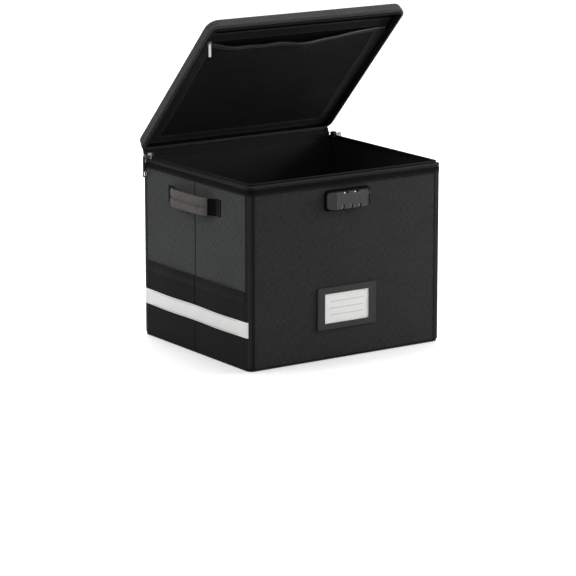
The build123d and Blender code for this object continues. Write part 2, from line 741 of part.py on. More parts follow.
DIAL_OUT = LOCK_T - DIAL_BEHIND - DIAL_R
DIAL_Z = -LOCK_H / 2 - DIAL_BELOW + DIAL_R
BUTTON_OUT = BAR_FROM_WALL + BAR_T / 2


def lock_width_at(out):
    """Half width of the lock at a distance out from the wall."""
    share = (out - LOCK_SIDE_T) / (LOCK_T - LOCK_SIDE_T)
    return LOCK_W / 2 - max(share, 0) * (LOCK_W - LOCK_FLAT_W) / 2


BUTTON_END = lock_width_at(BUTTON_OUT) + BUTTON_PROUD + BUTTON_W / 2


def lock_form(inset):
    """Outer form of the lock, moved inwards by inset: sloped ends, flat middle."""
    wide, flat = LOCK_W / 2 - inset, LOCK_FLAT_W / 2 - inset / 2
    top = LOCK_T - inset
    right = [(wide, -inset), (wide, LOCK_SIDE_T), (flat, top)]
    plan = right + [(-x, out) for x, out in reversed(right)]
    side = Plane.XZ * make_face(Polyline(plan, close=True))
    prism = extrude(side, LOCK_H / 2 - inset, both=True)
    face = RectangleRounded(2 * wide, LOCK_H - 2 * inset, LOCK_CORNER_R - inset)
    return prism & Pos(0, 0, -inset) * extrude(face, LOCK_T + inset)


def lock_housing():
    """Shell of the lock with its slots, dial windows, ribs, shelf and bosses."""
    body = lock_form(0)
    front = body.edges().filter_by(Axis.X).sort_by(Axis.Z)[-2:]
    body = fillet(front, LOCK_WALL) - lock_form(LOCK_WALL)
    low = -LOCK_H / 2 + LOCK_WALL / 2
    inner = LOCK_T - LOCK_WALL / 2
    for way in (-1, 1):
        x0, x1 = sorted((way * RIB_X, way * (RIB_X + RIB_T)))
        body += block(x0, x1, low, DIAL_Z + AXLE_R + RIB_T, DIAL_OUT - AXLE_R - RIB_T, inner)
        boss_top = lock_width_slope(SCREW_X + BOSS_R)
        body += Pos(way * SCREW_X, SCREW_Z, 0) * extrude(Circle(BOSS_R), boss_top)
        body -= Pos(way * SCREW_X, SCREW_Z, 0) * extrude(Circle(SCREW_R), SCREW_GRIP)
    shelf_top = BAR_Z - BAR_H / 2 - SHELF_GAP
    body += block(-SHELF_HALF, SHELF_HALF, shelf_top - SHELF_T, shelf_top, BAR_FROM_WALL, inner)
    body -= Pos(0, DIAL_Z, DIAL_OUT) * Rot(0, 90, 0) * Cylinder(AXLE_R, LOCK_FLAT_W)
    for i in (-1, 0, 1):
        x = i * DIAL_PITCH
        wide = DIAL_W / 2 + DIAL_SIDE_CLEAR
        depth = LOCK_T - LOCK_WALL - DIAL_OUT
        tall = (DIAL_R ** 2 - depth ** 2) ** 0.5 + 2 * DIAL_SIDE_CLEAR
        body -= block(x - wide, x + wide, -LOCK_H, DIAL_Z + tall, DIAL_OUT, 2 * LOCK_T)
        near = DIAL_OUT - DIAL_R - 2 * DIAL_SIDE_CLEAR
        body -= block(x - wide, x + wide, -LOCK_H, DIAL_Z, near, 2 * LOCK_T)
    for way in (-1, 1):
        x = way * SLOT_PITCH / 2
        wide = PULL_W / 2 + SLOT_CLEAR
        out = LOCK_T - SLOT_FROM_FACE
        body -= block(x - wide, x + wide, LOCK_H / 2 - 2 * LOCK_WALL, LOCK_H, out - SLOT_T, out)
        body -= block(x - wide, x + wide, LOCK_H / 2 - SLOT_LIP_DEPTH, LOCK_H, out, 2 * LOCK_T)
    hole = BUTTON_W / 2 + BUTTON_CLEAR
    body -= block(RIB_X, LOCK_W, BAR_Z - hole, BAR_Z + hole, BUTTON_OUT - hole, BUTTON_OUT + hole)
    return LOCK_PLANE * body


def lock_width_slope(x):
    """How far the lock's outside stands out from the wall at x, less its wall."""
    run = (LOCK_W - LOCK_FLAT_W) / 2
    share = max(x - LOCK_FLAT_W / 2, 0) / run
    return LOCK_T - share * (LOCK_T - LOCK_SIDE_T) - LOCK_WALL / 2


def release_button():
    """Latch bar with its two hooks and the button at its right end."""
    half = BAR_H / 2
    right = BUTTON_END - BUTTON_L
    out0 = BAR_FROM_WALL
    bar = block(-BAR_LEFT, right, BAR_Z - half, BAR_Z + half, out0, out0 + BAR_T)
    for way in (-1, 1):
        x = way * SLOT_PITCH / 2
        bar += block(x - half, x + half, BAR_Z, BAR_Z + half + BAR_HOOK, out0, out0 + BAR_T)
    wide = BUTTON_W / 2
    button = block(right, BUTTON_END, BAR_Z - wide, BAR_Z + wide, BUTTON_OUT - wide, BUTTON_OUT + wide)
    button = fillet(button.faces().sort_by(Axis.X)[-1].edges(), BUTTON_CLEAR)
    return LOCK_PLANE * (bar + button)


def dial_axle():
    """Axle of the dials, with the collars that space them."""
    axle = Rot(0, 90, 0) * Cylinder(AXLE_R, 2 * (RIB_X + RIB_T))
    clear = DIAL_W / 2 + DIAL_SIDE_CLEAR
    spans = [(clear, DIAL_PITCH - clear), (DIAL_PITCH + clear, RIB_X)]
    for x0, x1 in spans:
        collar = Rot(0, 90, 0) * Cylinder(COLLAR_R, x1 - x0)
        axle += Pos((x0 + x1) / 2, 0, 0) * collar
        axle += Pos(-(x0 + x1) / 2, 0, 0) * collar
    return LOCK_PLANE * Pos(0, DIAL_Z, DIAL_OUT) * axle


def dial(place):
    """One numbered wheel of the lock, with a flat for each number."""
    wheel = RegularPolygon(DIAL_R, DIAL_SIDES) - Circle(AXLE_R + DIAL_BORE_CLEAR)
    wheel = Rot(0, 90, 0) * extrude(wheel, DIAL_W / 2, both=True)
    return LOCK_PLANE * Pos(place * DIAL_PITCH, DIAL_Z, DIAL_OUT) * wheel


def lock_back_plate():
    """Plate inside the front wall that the lock is screwed through."""
    plate = RectangleRounded(BACK_PLATE_W, BACK_PLATE_H, LOCK_CORNER_R)
    plate -= [Pos(way * SCREW_X, SCREW_Z) * Circle(SCREW_R) for way in (-1, 1)]
    return LOCK_PLANE * Pos(0, 0, -IN_CLEAR - BACK_PLATE_T) * extrude(plate, BACK_PLATE_T)


def lock_screws():
    """Screws from inside the box into the lock's bosses."""
    screws = []
    for way in (-1, 1):
        low = -IN_CLEAR - BACK_PLATE_T
        head = Pos(0, 0, low - SCREW_HEAD_T) * extrude(Circle(SCREW_HEAD_R), SCREW_HEAD_T)
        stem = Pos(0, 0, low) * extrude(Circle(SCREW_R), SCREW_GRIP - CONTACT_GAP - low)
        head = fillet(head.faces().sort_by(Axis.Z)[0].edges(), SCREW_HEAD_T / 2)
        screws.append(LOCK_PLANE * Pos(way * SCREW_X, SCREW_Z, 0) * (head + stem))
    return screws


def drilled(shape):
    """Cut the lock's two screw holes through a layer of the front wall."""
    for way in (-1, 1):
        hole = Pos(way * SCREW_X, SCREW_Z, -2 * IN_CLEAR) * extrude(Circle(SCREW_R), 2 * IN_CLEAR)
        shape -= LOCK_PLANE * hole
    return shape


def save(name, shape):
    """Write one node, as a single solid or a group of separate ones."""
    solids = shape if isinstance(shape, list) else shape.solids()
    made = solids[0] if len(solids) == 1 else Compound(children=list(solids))
    export_step(made, f"parts/{name}.step")


BODY_TAPE = zip_tape(RIM_Z - BODY_TAPE_DROP, RIM_Z - COIL_Z - COIL_R + COIL_SEAT)
LID_TAPE = zip_tape(RIM_Z + COIL_Z + COIL_R - COIL_SEAT, RIM_Z + LID_TAPE_RISE)

save("cloth_front", drilled(cloth_wall("front")))
save("cloth_rear", cloth_wall("rear"))
save("cloth_bottom", cloth_bottom())
save("board_front", drilled(board_face(-1)))
save("board_rear", board_face(1))
save("board_base", board_base())
save("lining_walls", drilled(lining_walls()))
save("lining_floor", lining_floor())
save("piping_bottom", piping_bottom())
save("rim_band", rim_band())
save("corner_bindings", corner_bindings())
save("body_zip_tape", BODY_TAPE)
save("body_zip_coil", zip_coil(RIM_Z - COIL_Z, BODY_TAPE))
save("body_zip_stops", zip_stops(RIM_Z - COIL_Z))
save("hinge_strip_body", hinge_strip(-1))

for word, hand in (("left", -1), ("right", 1)):
    save(f"cloth_{word}", cloth_side(hand))
    save(f"board_{word}_front", board_side(hand, -1))
    save(f"board_{word}_rear", board_side(hand, 1))
    save(f"side_pocket_{word}", side_pocket(hand))
    save(f"stripe_{word}", stripe(hand))
    save(f"handle_strap_{word}", handle_strap(hand))
    save(f"handle_grip_{word}", handle_grip(hand))
    save(f"zip_slider_{word}", slider(hand))
    save(f"zip_pull_{word}", pull(hand))

save("label_frame", label_frame())
save("label_film", label_film())
save("label_card", label_card())
save("lock_housing", lock_housing())
save("lock_back_plate", lock_back_plate())
save("lock_screws", lock_screws())
save("dial_axle", dial_axle())
save("release_button", release_button())
for number, place in enumerate((-1, 0, 1), start=1):
    save(f"dial_{number}", dial(place))

save("lid_shell", opened(lid_shell()))
save("lid_board", opened(lid_board()))
save("lid_edge_strip", opened(lid_edge_strip()))
save("lid_lining", opened(lid_lining()))
save("lid_binding", opened(lid_binding()))
save("lid_zip_tape", opened(LID_TAPE))
save("lid_zip_coil", opened(zip_coil(RIM_Z + COIL_Z, LID_TAPE)))
save("lid_piping", opened(lid_piping()))
save("hinge_strip_lid", opened(hinge_strip(1)))
save("net_zip_tapes", [opened(net_tape(way)) for way in (-1, 1)])
save("net_coil_upper", opened(net_coil(-1)))
save("net_coil_lower", opened(net_coil(1)))
save("net_border", opened(net_border()))
save("net_panel", opened(net_panel()))
save("net_slider", opened(net_slider()))
save("net_pull", net_pull())
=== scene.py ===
from itertools import combinations
from math import cos, pi, radians, sin

import bmesh
import bpy
import numpy as np
from mathutils import Matrix


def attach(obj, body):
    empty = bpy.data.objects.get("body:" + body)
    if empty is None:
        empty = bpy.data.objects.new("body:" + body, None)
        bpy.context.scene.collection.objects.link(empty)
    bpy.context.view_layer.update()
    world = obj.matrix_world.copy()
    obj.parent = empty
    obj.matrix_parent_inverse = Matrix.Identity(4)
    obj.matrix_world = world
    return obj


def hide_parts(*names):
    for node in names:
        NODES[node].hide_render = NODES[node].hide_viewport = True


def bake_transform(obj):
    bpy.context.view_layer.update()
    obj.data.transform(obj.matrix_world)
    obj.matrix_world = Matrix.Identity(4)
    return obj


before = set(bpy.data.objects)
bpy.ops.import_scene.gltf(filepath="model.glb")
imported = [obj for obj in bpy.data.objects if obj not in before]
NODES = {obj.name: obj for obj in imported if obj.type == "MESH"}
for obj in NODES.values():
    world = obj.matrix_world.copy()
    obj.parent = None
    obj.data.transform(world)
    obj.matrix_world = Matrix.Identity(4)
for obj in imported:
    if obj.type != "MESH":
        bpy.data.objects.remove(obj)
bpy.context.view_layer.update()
MM = 0.001

# Sizes in millimetres, as in the part's source
SIDE_X, HALF_Y, RIM_Z = 203.0, 171.0, 330.0
CORNER_R = 12.0
IN_X, IN_Y = SIDE_X - CORNER_R, HALF_Y - CORNER_R
CLOTH_T = 1.5
WALL_FOOT_Z, WALL_TOP_Z = 5.75, 320.0
BAND_FOOT_Z = 308.0
ZIP_END_Y = 158.0
TAPE_OUT = -4.2
HINGE_Y = 175.3
LID_X, LID_Y, LID_R = 206.0, 174.0, 21.0
LID_FOOT_Z, LID_TOP_Z = 336.0, 352.0
LID_CEILING = 346.5
LID_TURN = radians(46.0)
POCKET_T = 1.2
POCKET_END = 157.9
STRIPE_Z, STRIPE_TOP_Z = 60.0, 87.5
HANDLE_Z = 273.0
STRAP_HALF_Y, STRAP_HALF_Z, STRAP_T = 84.0, 15.0, 1.6
GRIP_HALF_Y, GRIP_HALF_Z, GRIP_T = 57.0, 15.7, 3.2
BOW_HALF, BOW_OUT = 72.0, 17.0
LABEL_Z, LOCK_Z = 92.0, 283.0
LABEL_SEAM_X, LABEL_SEAM_Z = 59.0, 34.0
# Black pad under the lock: its rim round the lock is painted shadow
GASKET_SHADOW_X, GASKET_SHADOW_Z, GASKET_SHADOW_R = 48.4, 18.6, 9.0
DIAL_X, DIAL_Z, DIAL_R, DIAL_OUT = 17.5, 273.0, 6.0, 7.8
FIGURE_SIZE, FIGURE_RELIEF = 3.4, 0.03
NET_Z = 344.0
NET_ZIP_Y = -119.0
NET_ZIP_X = 194.2
NET_SLIDER_X = -184.2
NET_HALF_X, NET_LOW_Y, NET_HIGH_Y = 171.2, -105.5, 145.2
BORDER_X, BORDER_LOW_Y, BORDER_HIGH_Y, BORDER_R = 199.2, -112.5, 167.2, 8.0
BORDER_TOP_Z, BORDER_FOOT_Z = 344.4, 343.6

# Camera and light, in metres, watts and radians
VIEW_TURN, VIEW_TILT = 0.598141, 0.226592
VIEW_AWAY = (0.016119, 16.3517, -0.26903)
FOCAL_PIXELS, PHOTO_PIXELS, SENSOR = 3000.0, 576.0, 36.0
WHITE = (1, 1, 1, 1)
WORLD_LIGHT = 0.40
FLOOR_REACH = 20.0
LAMP_AIM = (0, 0, 0.2)
LAMPS = (("lamp_left", (-2.0, 0.7, 1.5), 1.4, 29.0), ("lamp_right", (1.15, -0.62, 0.6), 0.6, 15.5),
         ("lamp_top", (0.3, 0.5, 2.6), 1.4, 62.0), ("lamp_rear", (0.9, 3.4, 1.7), 2.0, 46.0))


# Small sums on arrays

def unit(v):
    """Each vector at length one."""
    return v / np.linalg.norm(v, axis=-1, keepdims=True)


def xyz(x, y, z):
    """Points from three numbers or grids of numbers."""
    return np.stack(np.broadcast_arrays(x, y, z), -1)


def raised(flat, z):
    """Points in the plane, given a height."""
    return np.concatenate([flat, np.broadcast_to(z, flat.shape[:-1])[..., None]], -1)


def uv_grid(along, around):
    """A grid of UVs from the distances along its rows and its columns."""
    return np.stack(np.meshgrid(along, around, indexing="ij"), -1)


def distance(points):
    """How far along a line each of its points is."""
    steps = np.linalg.norm(np.diff(points, axis=0), axis=1)
    return np.concatenate([[0.0], np.cumsum(steps)])


def sampled(values, run, at):
    """Rows of values that belong to the distances in run, at other distances."""
    return np.stack([np.interp(at, run, column) for column in values.T], -1)


def eased(t):
    """A smooth step from 0 to 1."""
    t = np.clip(t, 0, 1)
    return t * t * (3 - 2 * t)


def ripple(a, b, phase=0.0):
    """Slow waves of height about one: three crossed sines of unlike lengths."""
    return (np.sin(a / 41 + phase) * np.sin(b / 53 + 1.3 * phase + 0.4) * 0.6
            + np.sin(a / 23 - b / 67 + 2.1 + phase) * 0.3 + np.sin(a / 71 + b / 19 + phase) * 0.2)


def lid_up(points):
    """The lid's points turned about the fold, from shut to where they are at rest."""
    y, z = points[..., 1] - HINGE_Y, points[..., 2] - RIM_Z
    return xyz(points[..., 0], HINGE_Y + y * cos(LID_TURN) + z * sin(LID_TURN),
               RIM_Z - y * sin(LID_TURN) + z * cos(LID_TURN))


# Camera and light

def added(name, data):
    """A new object in the scene."""
    item = bpy.data.objects.new(name, data)
    bpy.context.scene.collection.objects.link(item)
    return item


def aim(item, right, up, back, place):
    """Sets a camera or lamp at a place, with its own three axes given."""
    matrix = Matrix.Identity(4)
    for column, axis in enumerate((right, up, back, place)):
        for row in range(3):
            matrix[row][column] = axis[row]
    item.matrix_world = matrix


def set_camera():
    """Puts the camera at the photograph's viewpoint, from a fit of the box's corners."""
    turn, tilt = VIEW_TURN, VIEW_TILT
    level = np.array([[cos(turn), -sin(turn), 0], [sin(turn), cos(turn), 0], [0, 0, 1]])
    tipped = np.array([[1, 0, 0], [0, cos(tilt), -sin(tilt)], [0, sin(tilt), cos(tilt)]])
    axes = tipped @ level
    camera = added("camera", bpy.data.cameras.new("camera"))
    camera.data.sensor_width = SENSOR
    camera.data.lens = FOCAL_PIXELS * SENSOR / PHOTO_PIXELS
    camera.data.clip_start, camera.data.clip_end = 0.1, 100.0
    aim(camera, axes[0], axes[2], -axes[1], -axes.T @ (np.array(VIEW_AWAY) * RIM_Z * MM))
    bpy.context.scene.camera = camera


def set_lamp(name, place, size, power):
    """A square soft lamp that faces the middle of the box."""
    lamp = added(name, bpy.data.lights.new(name, "AREA"))
    lamp.data.size, lamp.data.energy = size, power
    lamp.visible_camera = False
    place = np.array(place)
    back = unit(place - LAMP_AIM)
    right = unit(np.cross([0, 0, 1], back))
    aim(lamp, right, np.cross(back, right), back, place)


def put(node, inputs):
    """Sets a node's inputs."""
    for key, value in inputs.items():
        node.inputs[key].default_value = value
    return node


def wired(tree, kind, inputs={}, **values):
    """A node of the given kind, with its properties and its inputs set."""
    node = tree.nodes.new(kind)
    for key, value in values.items():
        setattr(node, key, value)
    return put(node, inputs)


def linked(tree, *pairs):
    """Joins each output to its input."""
    for source, target in pairs:
        tree.links.new(source, target)


def seen_directly(tree):
    """One where a ray comes from the camera, a gloss or clear film, and nought elsewhere."""
    rays = wired(tree, "ShaderNodeLightPath")
    seen = rays.outputs["Is Camera Ray"]
    for kind in ("Is Glossy Ray", "Is Transmission Ray"):
        most = wired(tree, "ShaderNodeMath", operation="MAXIMUM")
        linked(tree, (seen, most.inputs[0]), (rays.outputs[kind], most.inputs[1]))
        seen = most.outputs[0]
    return seen


def set_world():
    """White surroundings that look brighter than they shine."""
    world = bpy.data.worlds.new("studio")
    bpy.context.scene.world = world
    world.use_nodes = True
    tree = world.node_tree
    tree.nodes.clear()
    lit = wired(tree, "ShaderNodeBackground", {"Color": WHITE, "Strength": WORLD_LIGHT})
    shown = wired(tree, "ShaderNodeBackground", {"Color": WHITE, "Strength": 1.0})
    mix, out = wired(tree, "ShaderNodeMixShader"), wired(tree, "ShaderNodeOutputWorld")
    linked(tree, (seen_directly(tree), mix.inputs[0]), (lit.outputs[0], mix.inputs[1]),
           (shown.outputs[0], mix.inputs[2]), (mix.outputs[0], out.inputs[0]))


def set_floor():
    """A pale floor that keeps the shadow and whitens with distance."""
    mesh = bpy.data.meshes.new("floor")
    corners = [(x * FLOOR_REACH, y * FLOOR_REACH, 0) for x, y in ((-1, -1), (1, -1), (1, 1), (-1, 1))]
    mesh.from_pydata(corners, [], [(0, 1, 2, 3)])
    ground = added("floor", mesh)
    paint = bpy.data.materials.new("floor_paint")
    paint.use_nodes = True
    tree = paint.node_tree
    tree.nodes.clear()
    matt = wired(tree, "ShaderNodeBsdfDiffuse", {"Color": (0.62, 0.62, 0.62, 1)})
    glow = wired(tree, "ShaderNodeEmission", {"Color": WHITE})
    dark = wired(tree, "ShaderNodeEmission", {"Strength": 0.0})
    place = wired(tree, "ShaderNodeTexCoord")
    reach = wired(tree, "ShaderNodeVectorMath", operation="LENGTH")
    fade = {"From Min": 0.3, "From Max": 2.2, "To Min": 0.42, "To Max": 0.85}
    spread = wired(tree, "ShaderNodeMapRange", fade, interpolation_type="SMOOTHSTEP")
    choose, both = wired(tree, "ShaderNodeMixShader"), wired(tree, "ShaderNodeAddShader")
    out = wired(tree, "ShaderNodeOutputMaterial")
    linked(tree, (place.outputs["Object"], reach.inputs[0]),
           (reach.outputs["Value"], spread.inputs["Value"]),
           (spread.outputs["Result"], glow.inputs["Strength"]), (seen_directly(tree), choose.inputs[0]),
           (dark.outputs[0], choose.inputs[1]), (glow.outputs[0], choose.inputs[2]),
           (matt.outputs[0], both.inputs[0]), (choose.outputs[0], both.inputs[1]),
           (both.outputs[0], out.inputs[0]))
    mesh.materials.append(paint)


# Materials

MATERIAL = {}


class Finish:
    """Builds one material: numbers and colours in, one Principled shader out."""

    def __init__(self, name, roughness, specular=0.5, metallic=0.0):
        material = bpy.data.materials.new(name)
        material.use_nodes = True
        MATERIAL[name] = material
        self.tree = material.node_tree
        self.shader = put(self.tree.nodes["Principled BSDF"], {
            "Roughness": roughness, "Specular IOR Level": specular, "Metallic": metallic})
        self.places = wired(self.tree, "ShaderNodeTexCoord").outputs

    def pattern(self, kind, vector, inputs, **values):
        """A texture over the given coordinates."""
        node = wired(self.tree, kind, inputs, **values)
        linked(self.tree, (vector, node.inputs["Vector"]))
        return node.outputs["Fac"]

    def noise(self, size, detail=3.0):
        """Cloudy noise whose patches are about size across, in metres."""
        inputs = {"Scale": 1.0 / size, "Detail": detail}
        return self.pattern("ShaderNodeTexNoise", self.places["Object"], inputs)

    def yarns(self, size, stretch):
        """Streaky noise along one way of the cloth: size across, in UV units."""
        mapping = wired(self.tree, "ShaderNodeMapping", {"Scale": stretch}, vector_type="POINT")
        linked(self.tree, (self.places["UV"], mapping.inputs["Vector"]))
        inputs = {"Scale": 1.0 / size, "Detail": 2.0}
        return self.pattern("ShaderNodeTexNoise", mapping.outputs["Vector"], inputs)

    def wave(self, pitch, direction, bend=0.0):
        """Ribs of the given pitch across one direction of the UV."""
        inputs = {"Scale": 2 * pi / (20.0 * pitch), "Distortion": bend, "Detail": 1.0}
        return self.pattern("ShaderNodeTexWave", self.places["UV"], inputs, wave_type="BANDS",
                            bands_direction=direction)

    def math(self, operation, a, b):
        """One sum on two sockets or numbers."""
        node = wired(self.tree, "ShaderNodeMath", operation=operation)
        for value, socket in zip((a, b), node.inputs):
            if isinstance(value, (int, float)):
                socket.default_value = value
            else:
                linked(self.tree, (value, socket))
        return node.outputs[0]

    def total(self, *terms):
        """A sum of sockets, each times its weight."""
        parts = [part if weight == 1 else self.math("MULTIPLY", part, weight) for part, weight in terms]
        result = parts[0]
        for part in parts[1:]:
            result = self.math("ADD", result, part)
        return result

    def paint(self, share, *stops):
        """The base colour: a ramp between two (place, colour) stops."""
        node = wired(self.tree, "ShaderNodeValToRGB")
        for i, (place, colour) in enumerate(stops):
            node.color_ramp.elements[i].position = place
            node.color_ramp.elements[i].color = (*colour, 1)
        linked(self.tree, (share, node.inputs["Fac"]),
               (node.outputs["Color"], self.shader.inputs["Base Color"]))

    def rough(self, share, low, high):
        """Roughness from low to high as share goes from 0 to 1."""
        node = wired(self.tree, "ShaderNodeMapRange", {"To Min": low, "To Max": high})
        linked(self.tree, (share, node.inputs["Value"]),
               (node.outputs["Result"], self.shader.inputs["Roughness"]))

    def bump(self, height, depth, strength):
        """Relief of the given depth in metres."""
        node = wired(self.tree, "ShaderNodeBump", {"Strength": strength, "Distance": depth})
        linked(self.tree, (height, node.inputs["Height"]),
               (node.outputs["Normal"], self.shader.inputs["Normal"]))


def shade(colour, factor):
    return tuple(c * factor for c in colour)


def canvas(name, colour, pitch=1.15, depth=0.0003, fade=0.5, sheen=0.02, specular=0.12):
    """Plain weave: warp and weft ribs take turns, with paler and darker yarns that run both ways and slubs
    in them, over a cloudy fade of the dye. The weave's checker also goes into the colour, lighter where it
    is raised: painted shade between the yarns."""
    f = Finish(name, 0.88, specular)
    warp, weft = f.wave(pitch, "X", 0.5), f.wave(pitch, "Y", 0.5)
    over = f.math("MULTIPLY", warp, weft)
    under = f.math("MULTIPLY", f.math("SUBTRACT", 1.0, warp), f.math("SUBTRACT", 1.0, weft))
    weave = f.math("ADD", over, under)
    yarn = f.math("ADD", f.yarns(pitch, (1.0, 0.14, 1.0)), f.yarns(pitch, (0.14, 1.0, 1.0)))
    cloud = f.noise(0.06, 4.0)
    # weave in the tone is painted shade between the yarns; yarn and cloud are the dye's own tone
    tone = f.total((weave, 0.16), (yarn, 0.62), (cloud, 0.2))
    f.paint(tone, (0.56, shade(colour, 1 - fade)), (0.98, shade(colour, 1 + fade)))
    f.rough(cloud, 0.82, 0.96)
    f.bump(f.total((weave, 1), (yarn, 0.5)), depth, 0.7)
    put(f.shader, {"Sheen Weight": sheen, "Sheen Roughness": 0.5})


def ribbed(name, colour, pitch, direction, depth=0.0003, roughness=0.8, fade=0.35, specular=0.12):
    """Woven tape or webbing: ribs across one way, with fine threads between. The colour is lighter on the
    ribs and darker between them: painted shade in the grooves.
    """
    f = Finish(name, roughness, specular)
    ribs, fine = f.wave(pitch, direction), f.wave(pitch * 0.37, "Y" if direction == "X" else "X", 0.3)
    height = f.total((ribs, 1), (fine, 0.3))
    # height in the tone is painted shade between the ribs; the noise is the tape's own tone
    tone = f.total((height, 0.4), (f.noise(0.03), 0.5))
    f.paint(tone, (0.2, shade(colour, 1 - fade)), (0.9, shade(colour, 1 + fade)))
    f.bump(height, depth, 0.7)
    put(f.shader, {"Sheen Weight": 0.02})


def moulded(name, colour, roughness, grain=0.0004, depth=0.00006, specular=0.5, wear=1.25):
    """Moulded plastic: fine grain, and a little uneven gloss."""
    f = Finish(name, roughness, specular)
    cloud = f.noise(0.02, 4.0)
    f.paint(cloud, (0.3, colour), (0.8, shade(colour, wear)))
    f.rough(cloud, roughness - 0.06, roughness + 0.08)
    f.bump(f.noise(grain, 2.0), depth, 0.5)


def plated(name, colour, roughness):
    """Plated or plain metal with faint rubbing marks."""
    marks = 0.1
    f = Finish(name, roughness, 0.5, 1.0)
    fine = f.noise(0.0006, 3.0)
    f.paint(f.noise(0.006, 4.0), (0.3, shade(colour, 0.86)), (0.75, colour))
    f.rough(fine, max(roughness - marks, 0.05), roughness + marks)
    f.bump(fine, 0.00003, 0.3)


def greyboard(name):
    """Pressed board with flecks."""
    f = Finish(name, 0.9, 0.2)
    fleck = f.noise(0.0015, 5.0)
    f.paint(fleck, (0.35, (0.24, 0.19, 0.13)), (0.7, (0.40, 0.32, 0.23)))
    f.bump(fleck, 0.0001, 0.5)


def clear_film(name):
    """Thin clear film with faint ripples."""
    f = Finish(name, 0.06, 0.5)
    put(f.shader, {"Base Color": (0.95, 0.95, 0.95, 1), "Alpha": 0.14, "IOR": 1.45})
    f.bump(f.noise(0.03, 1.0), 0.0003, 0.4)


def thread(name, colour):
    """Twisted sewing thread: slanting strands along the stitch, darker between them as painted shade."""
    f = Finish(name, 0.6, 0.35)
    twist = f.wave(0.45, "DIAGONAL")
    # The twist sets the colour as well as the relief: painted shade between the strands
    f.paint(twist, (0.2, shade(colour, 0.7)), (0.8, shade(colour, 1.3)))
    f.bump(twist, 0.00008, 0.6)


canvas("black_canvas", (0.0212, 0.0212, 0.0217))
# The lid's copy of the black canvas, about twice as light: painted light on the lid's lit top and edge
canvas("lid_canvas_painted_light", (0.0405, 0.0396, 0.0380))
canvas("band_canvas", (0.0042, 0.0042, 0.0045), 0.9, sheen=0.0, specular=0.05)
# Lighter copy of band_canvas for the rim's top bead: painted highlight along its lit edge
canvas("bead_canvas_painted_highlight", (0.0088, 0.0090, 0.0088), 0.9)
canvas("grey_canvas", (0.0365, 0.0388, 0.0379))
canvas("pocket_canvas", (0.0085, 0.0085, 0.0090), specular=0.06)
canvas("lining", (0.0120, 0.0120, 0.0125), 0.5, 0.00012, 0.4)
canvas("lid_lining", (0.0018, 0.0018, 0.0020), 0.6, 0.00015, 0.4, 0.0, 0.03)
canvas("grip_canvas", (0.078, 0.075, 0.070), 1.3, 0.00035, 0.4)
ribbed("edge_tape", (0.0050, 0.0050, 0.0054), 0.9, "X")
# Lighter copy of the dark edge tape, for the raised corner ridges, the zip's end loops and the lid's cord:
# painted highlight on raised folds and cords
ribbed("ridge_tape_painted_highlight", (0.0170, 0.0172, 0.0172), 0.9, "X")
ribbed("zip_tape", (0.0075, 0.0075, 0.0080), 0.7, "Y")
ribbed("pocket_tape", (0.0020, 0.0020, 0.0022), 0.7, "Y", specular=0.03)
ribbed("webbing", (0.0022, 0.0022, 0.0024), 1.9, "X", 0.0005, 0.7, specular=0.03)
ribbed("reflective", (0.74, 0.74, 0.73), 1.2, "Y", 0.00012, 0.55, 0.07)
# Lower tape of the lid pocket's zip: glossier than pocket_tape, and painted lighter as a painted highlight
# along the hanging lip
ribbed("lip_tape_painted_highlight", (0.0130, 0.0130, 0.0135), 0.7, "Y", 0.0002, 0.45, specular=0.5)
ribbed("net_yarn", (0.0085, 0.0085, 0.0090), 0.5, "X", 0.0001)
moulded("coil", (0.0045, 0.0045, 0.0050), 0.7, specular=0.12)
moulded("lock_moulding", (0.0150, 0.0157, 0.0157), 0.36, specular=0.36)
# Near-black pad under the lock, wider than it all round: its rim is painted shadow round the lock
moulded("gasket_painted_shadow", (0.0022, 0.0022, 0.0022), 0.9, specular=0.04)
moulded("dial_moulding", (0.012, 0.012, 0.012), 0.4)
moulded("ink", (0.80, 0.80, 0.78), 0.6)
moulded("rule_ink", (0.10, 0.10, 0.11), 0.7)
moulded("frame_sheet", (0.011, 0.011, 0.0115), 0.62, 0.0011, 0.0002, 0.3)
moulded("card", (0.82, 0.82, 0.80), 0.75, 0.0008, 0.00003, 0.3, 1.05)
plated("bright_metal", (0.50, 0.50, 0.49), 0.30)
plated("dark_metal", (0.23, 0.23, 0.24), 0.3)
plated("steel", (0.50, 0.50, 0.52), 0.35)
greyboard("greyboard")
clear_film("film")
thread("thread", (0.016, 0.016, 0.017))


# Shapes

def weld(mesh, doubles, slivers):
    """Merges doubles, drops faces of no area and turns all faces outwards; in metres."""
    merged = bmesh.new()
    merged.from_mesh(mesh)
    bmesh.ops.remove_doubles(merged, verts=merged.verts, dist=doubles)
    bmesh.ops.dissolve_degenerate(merged, edges=merged.edges, dist=slivers)
    bmesh.ops.recalc_face_normals(merged, faces=merged.faces)
    merged.to_mesh(mesh)
    merged.free()


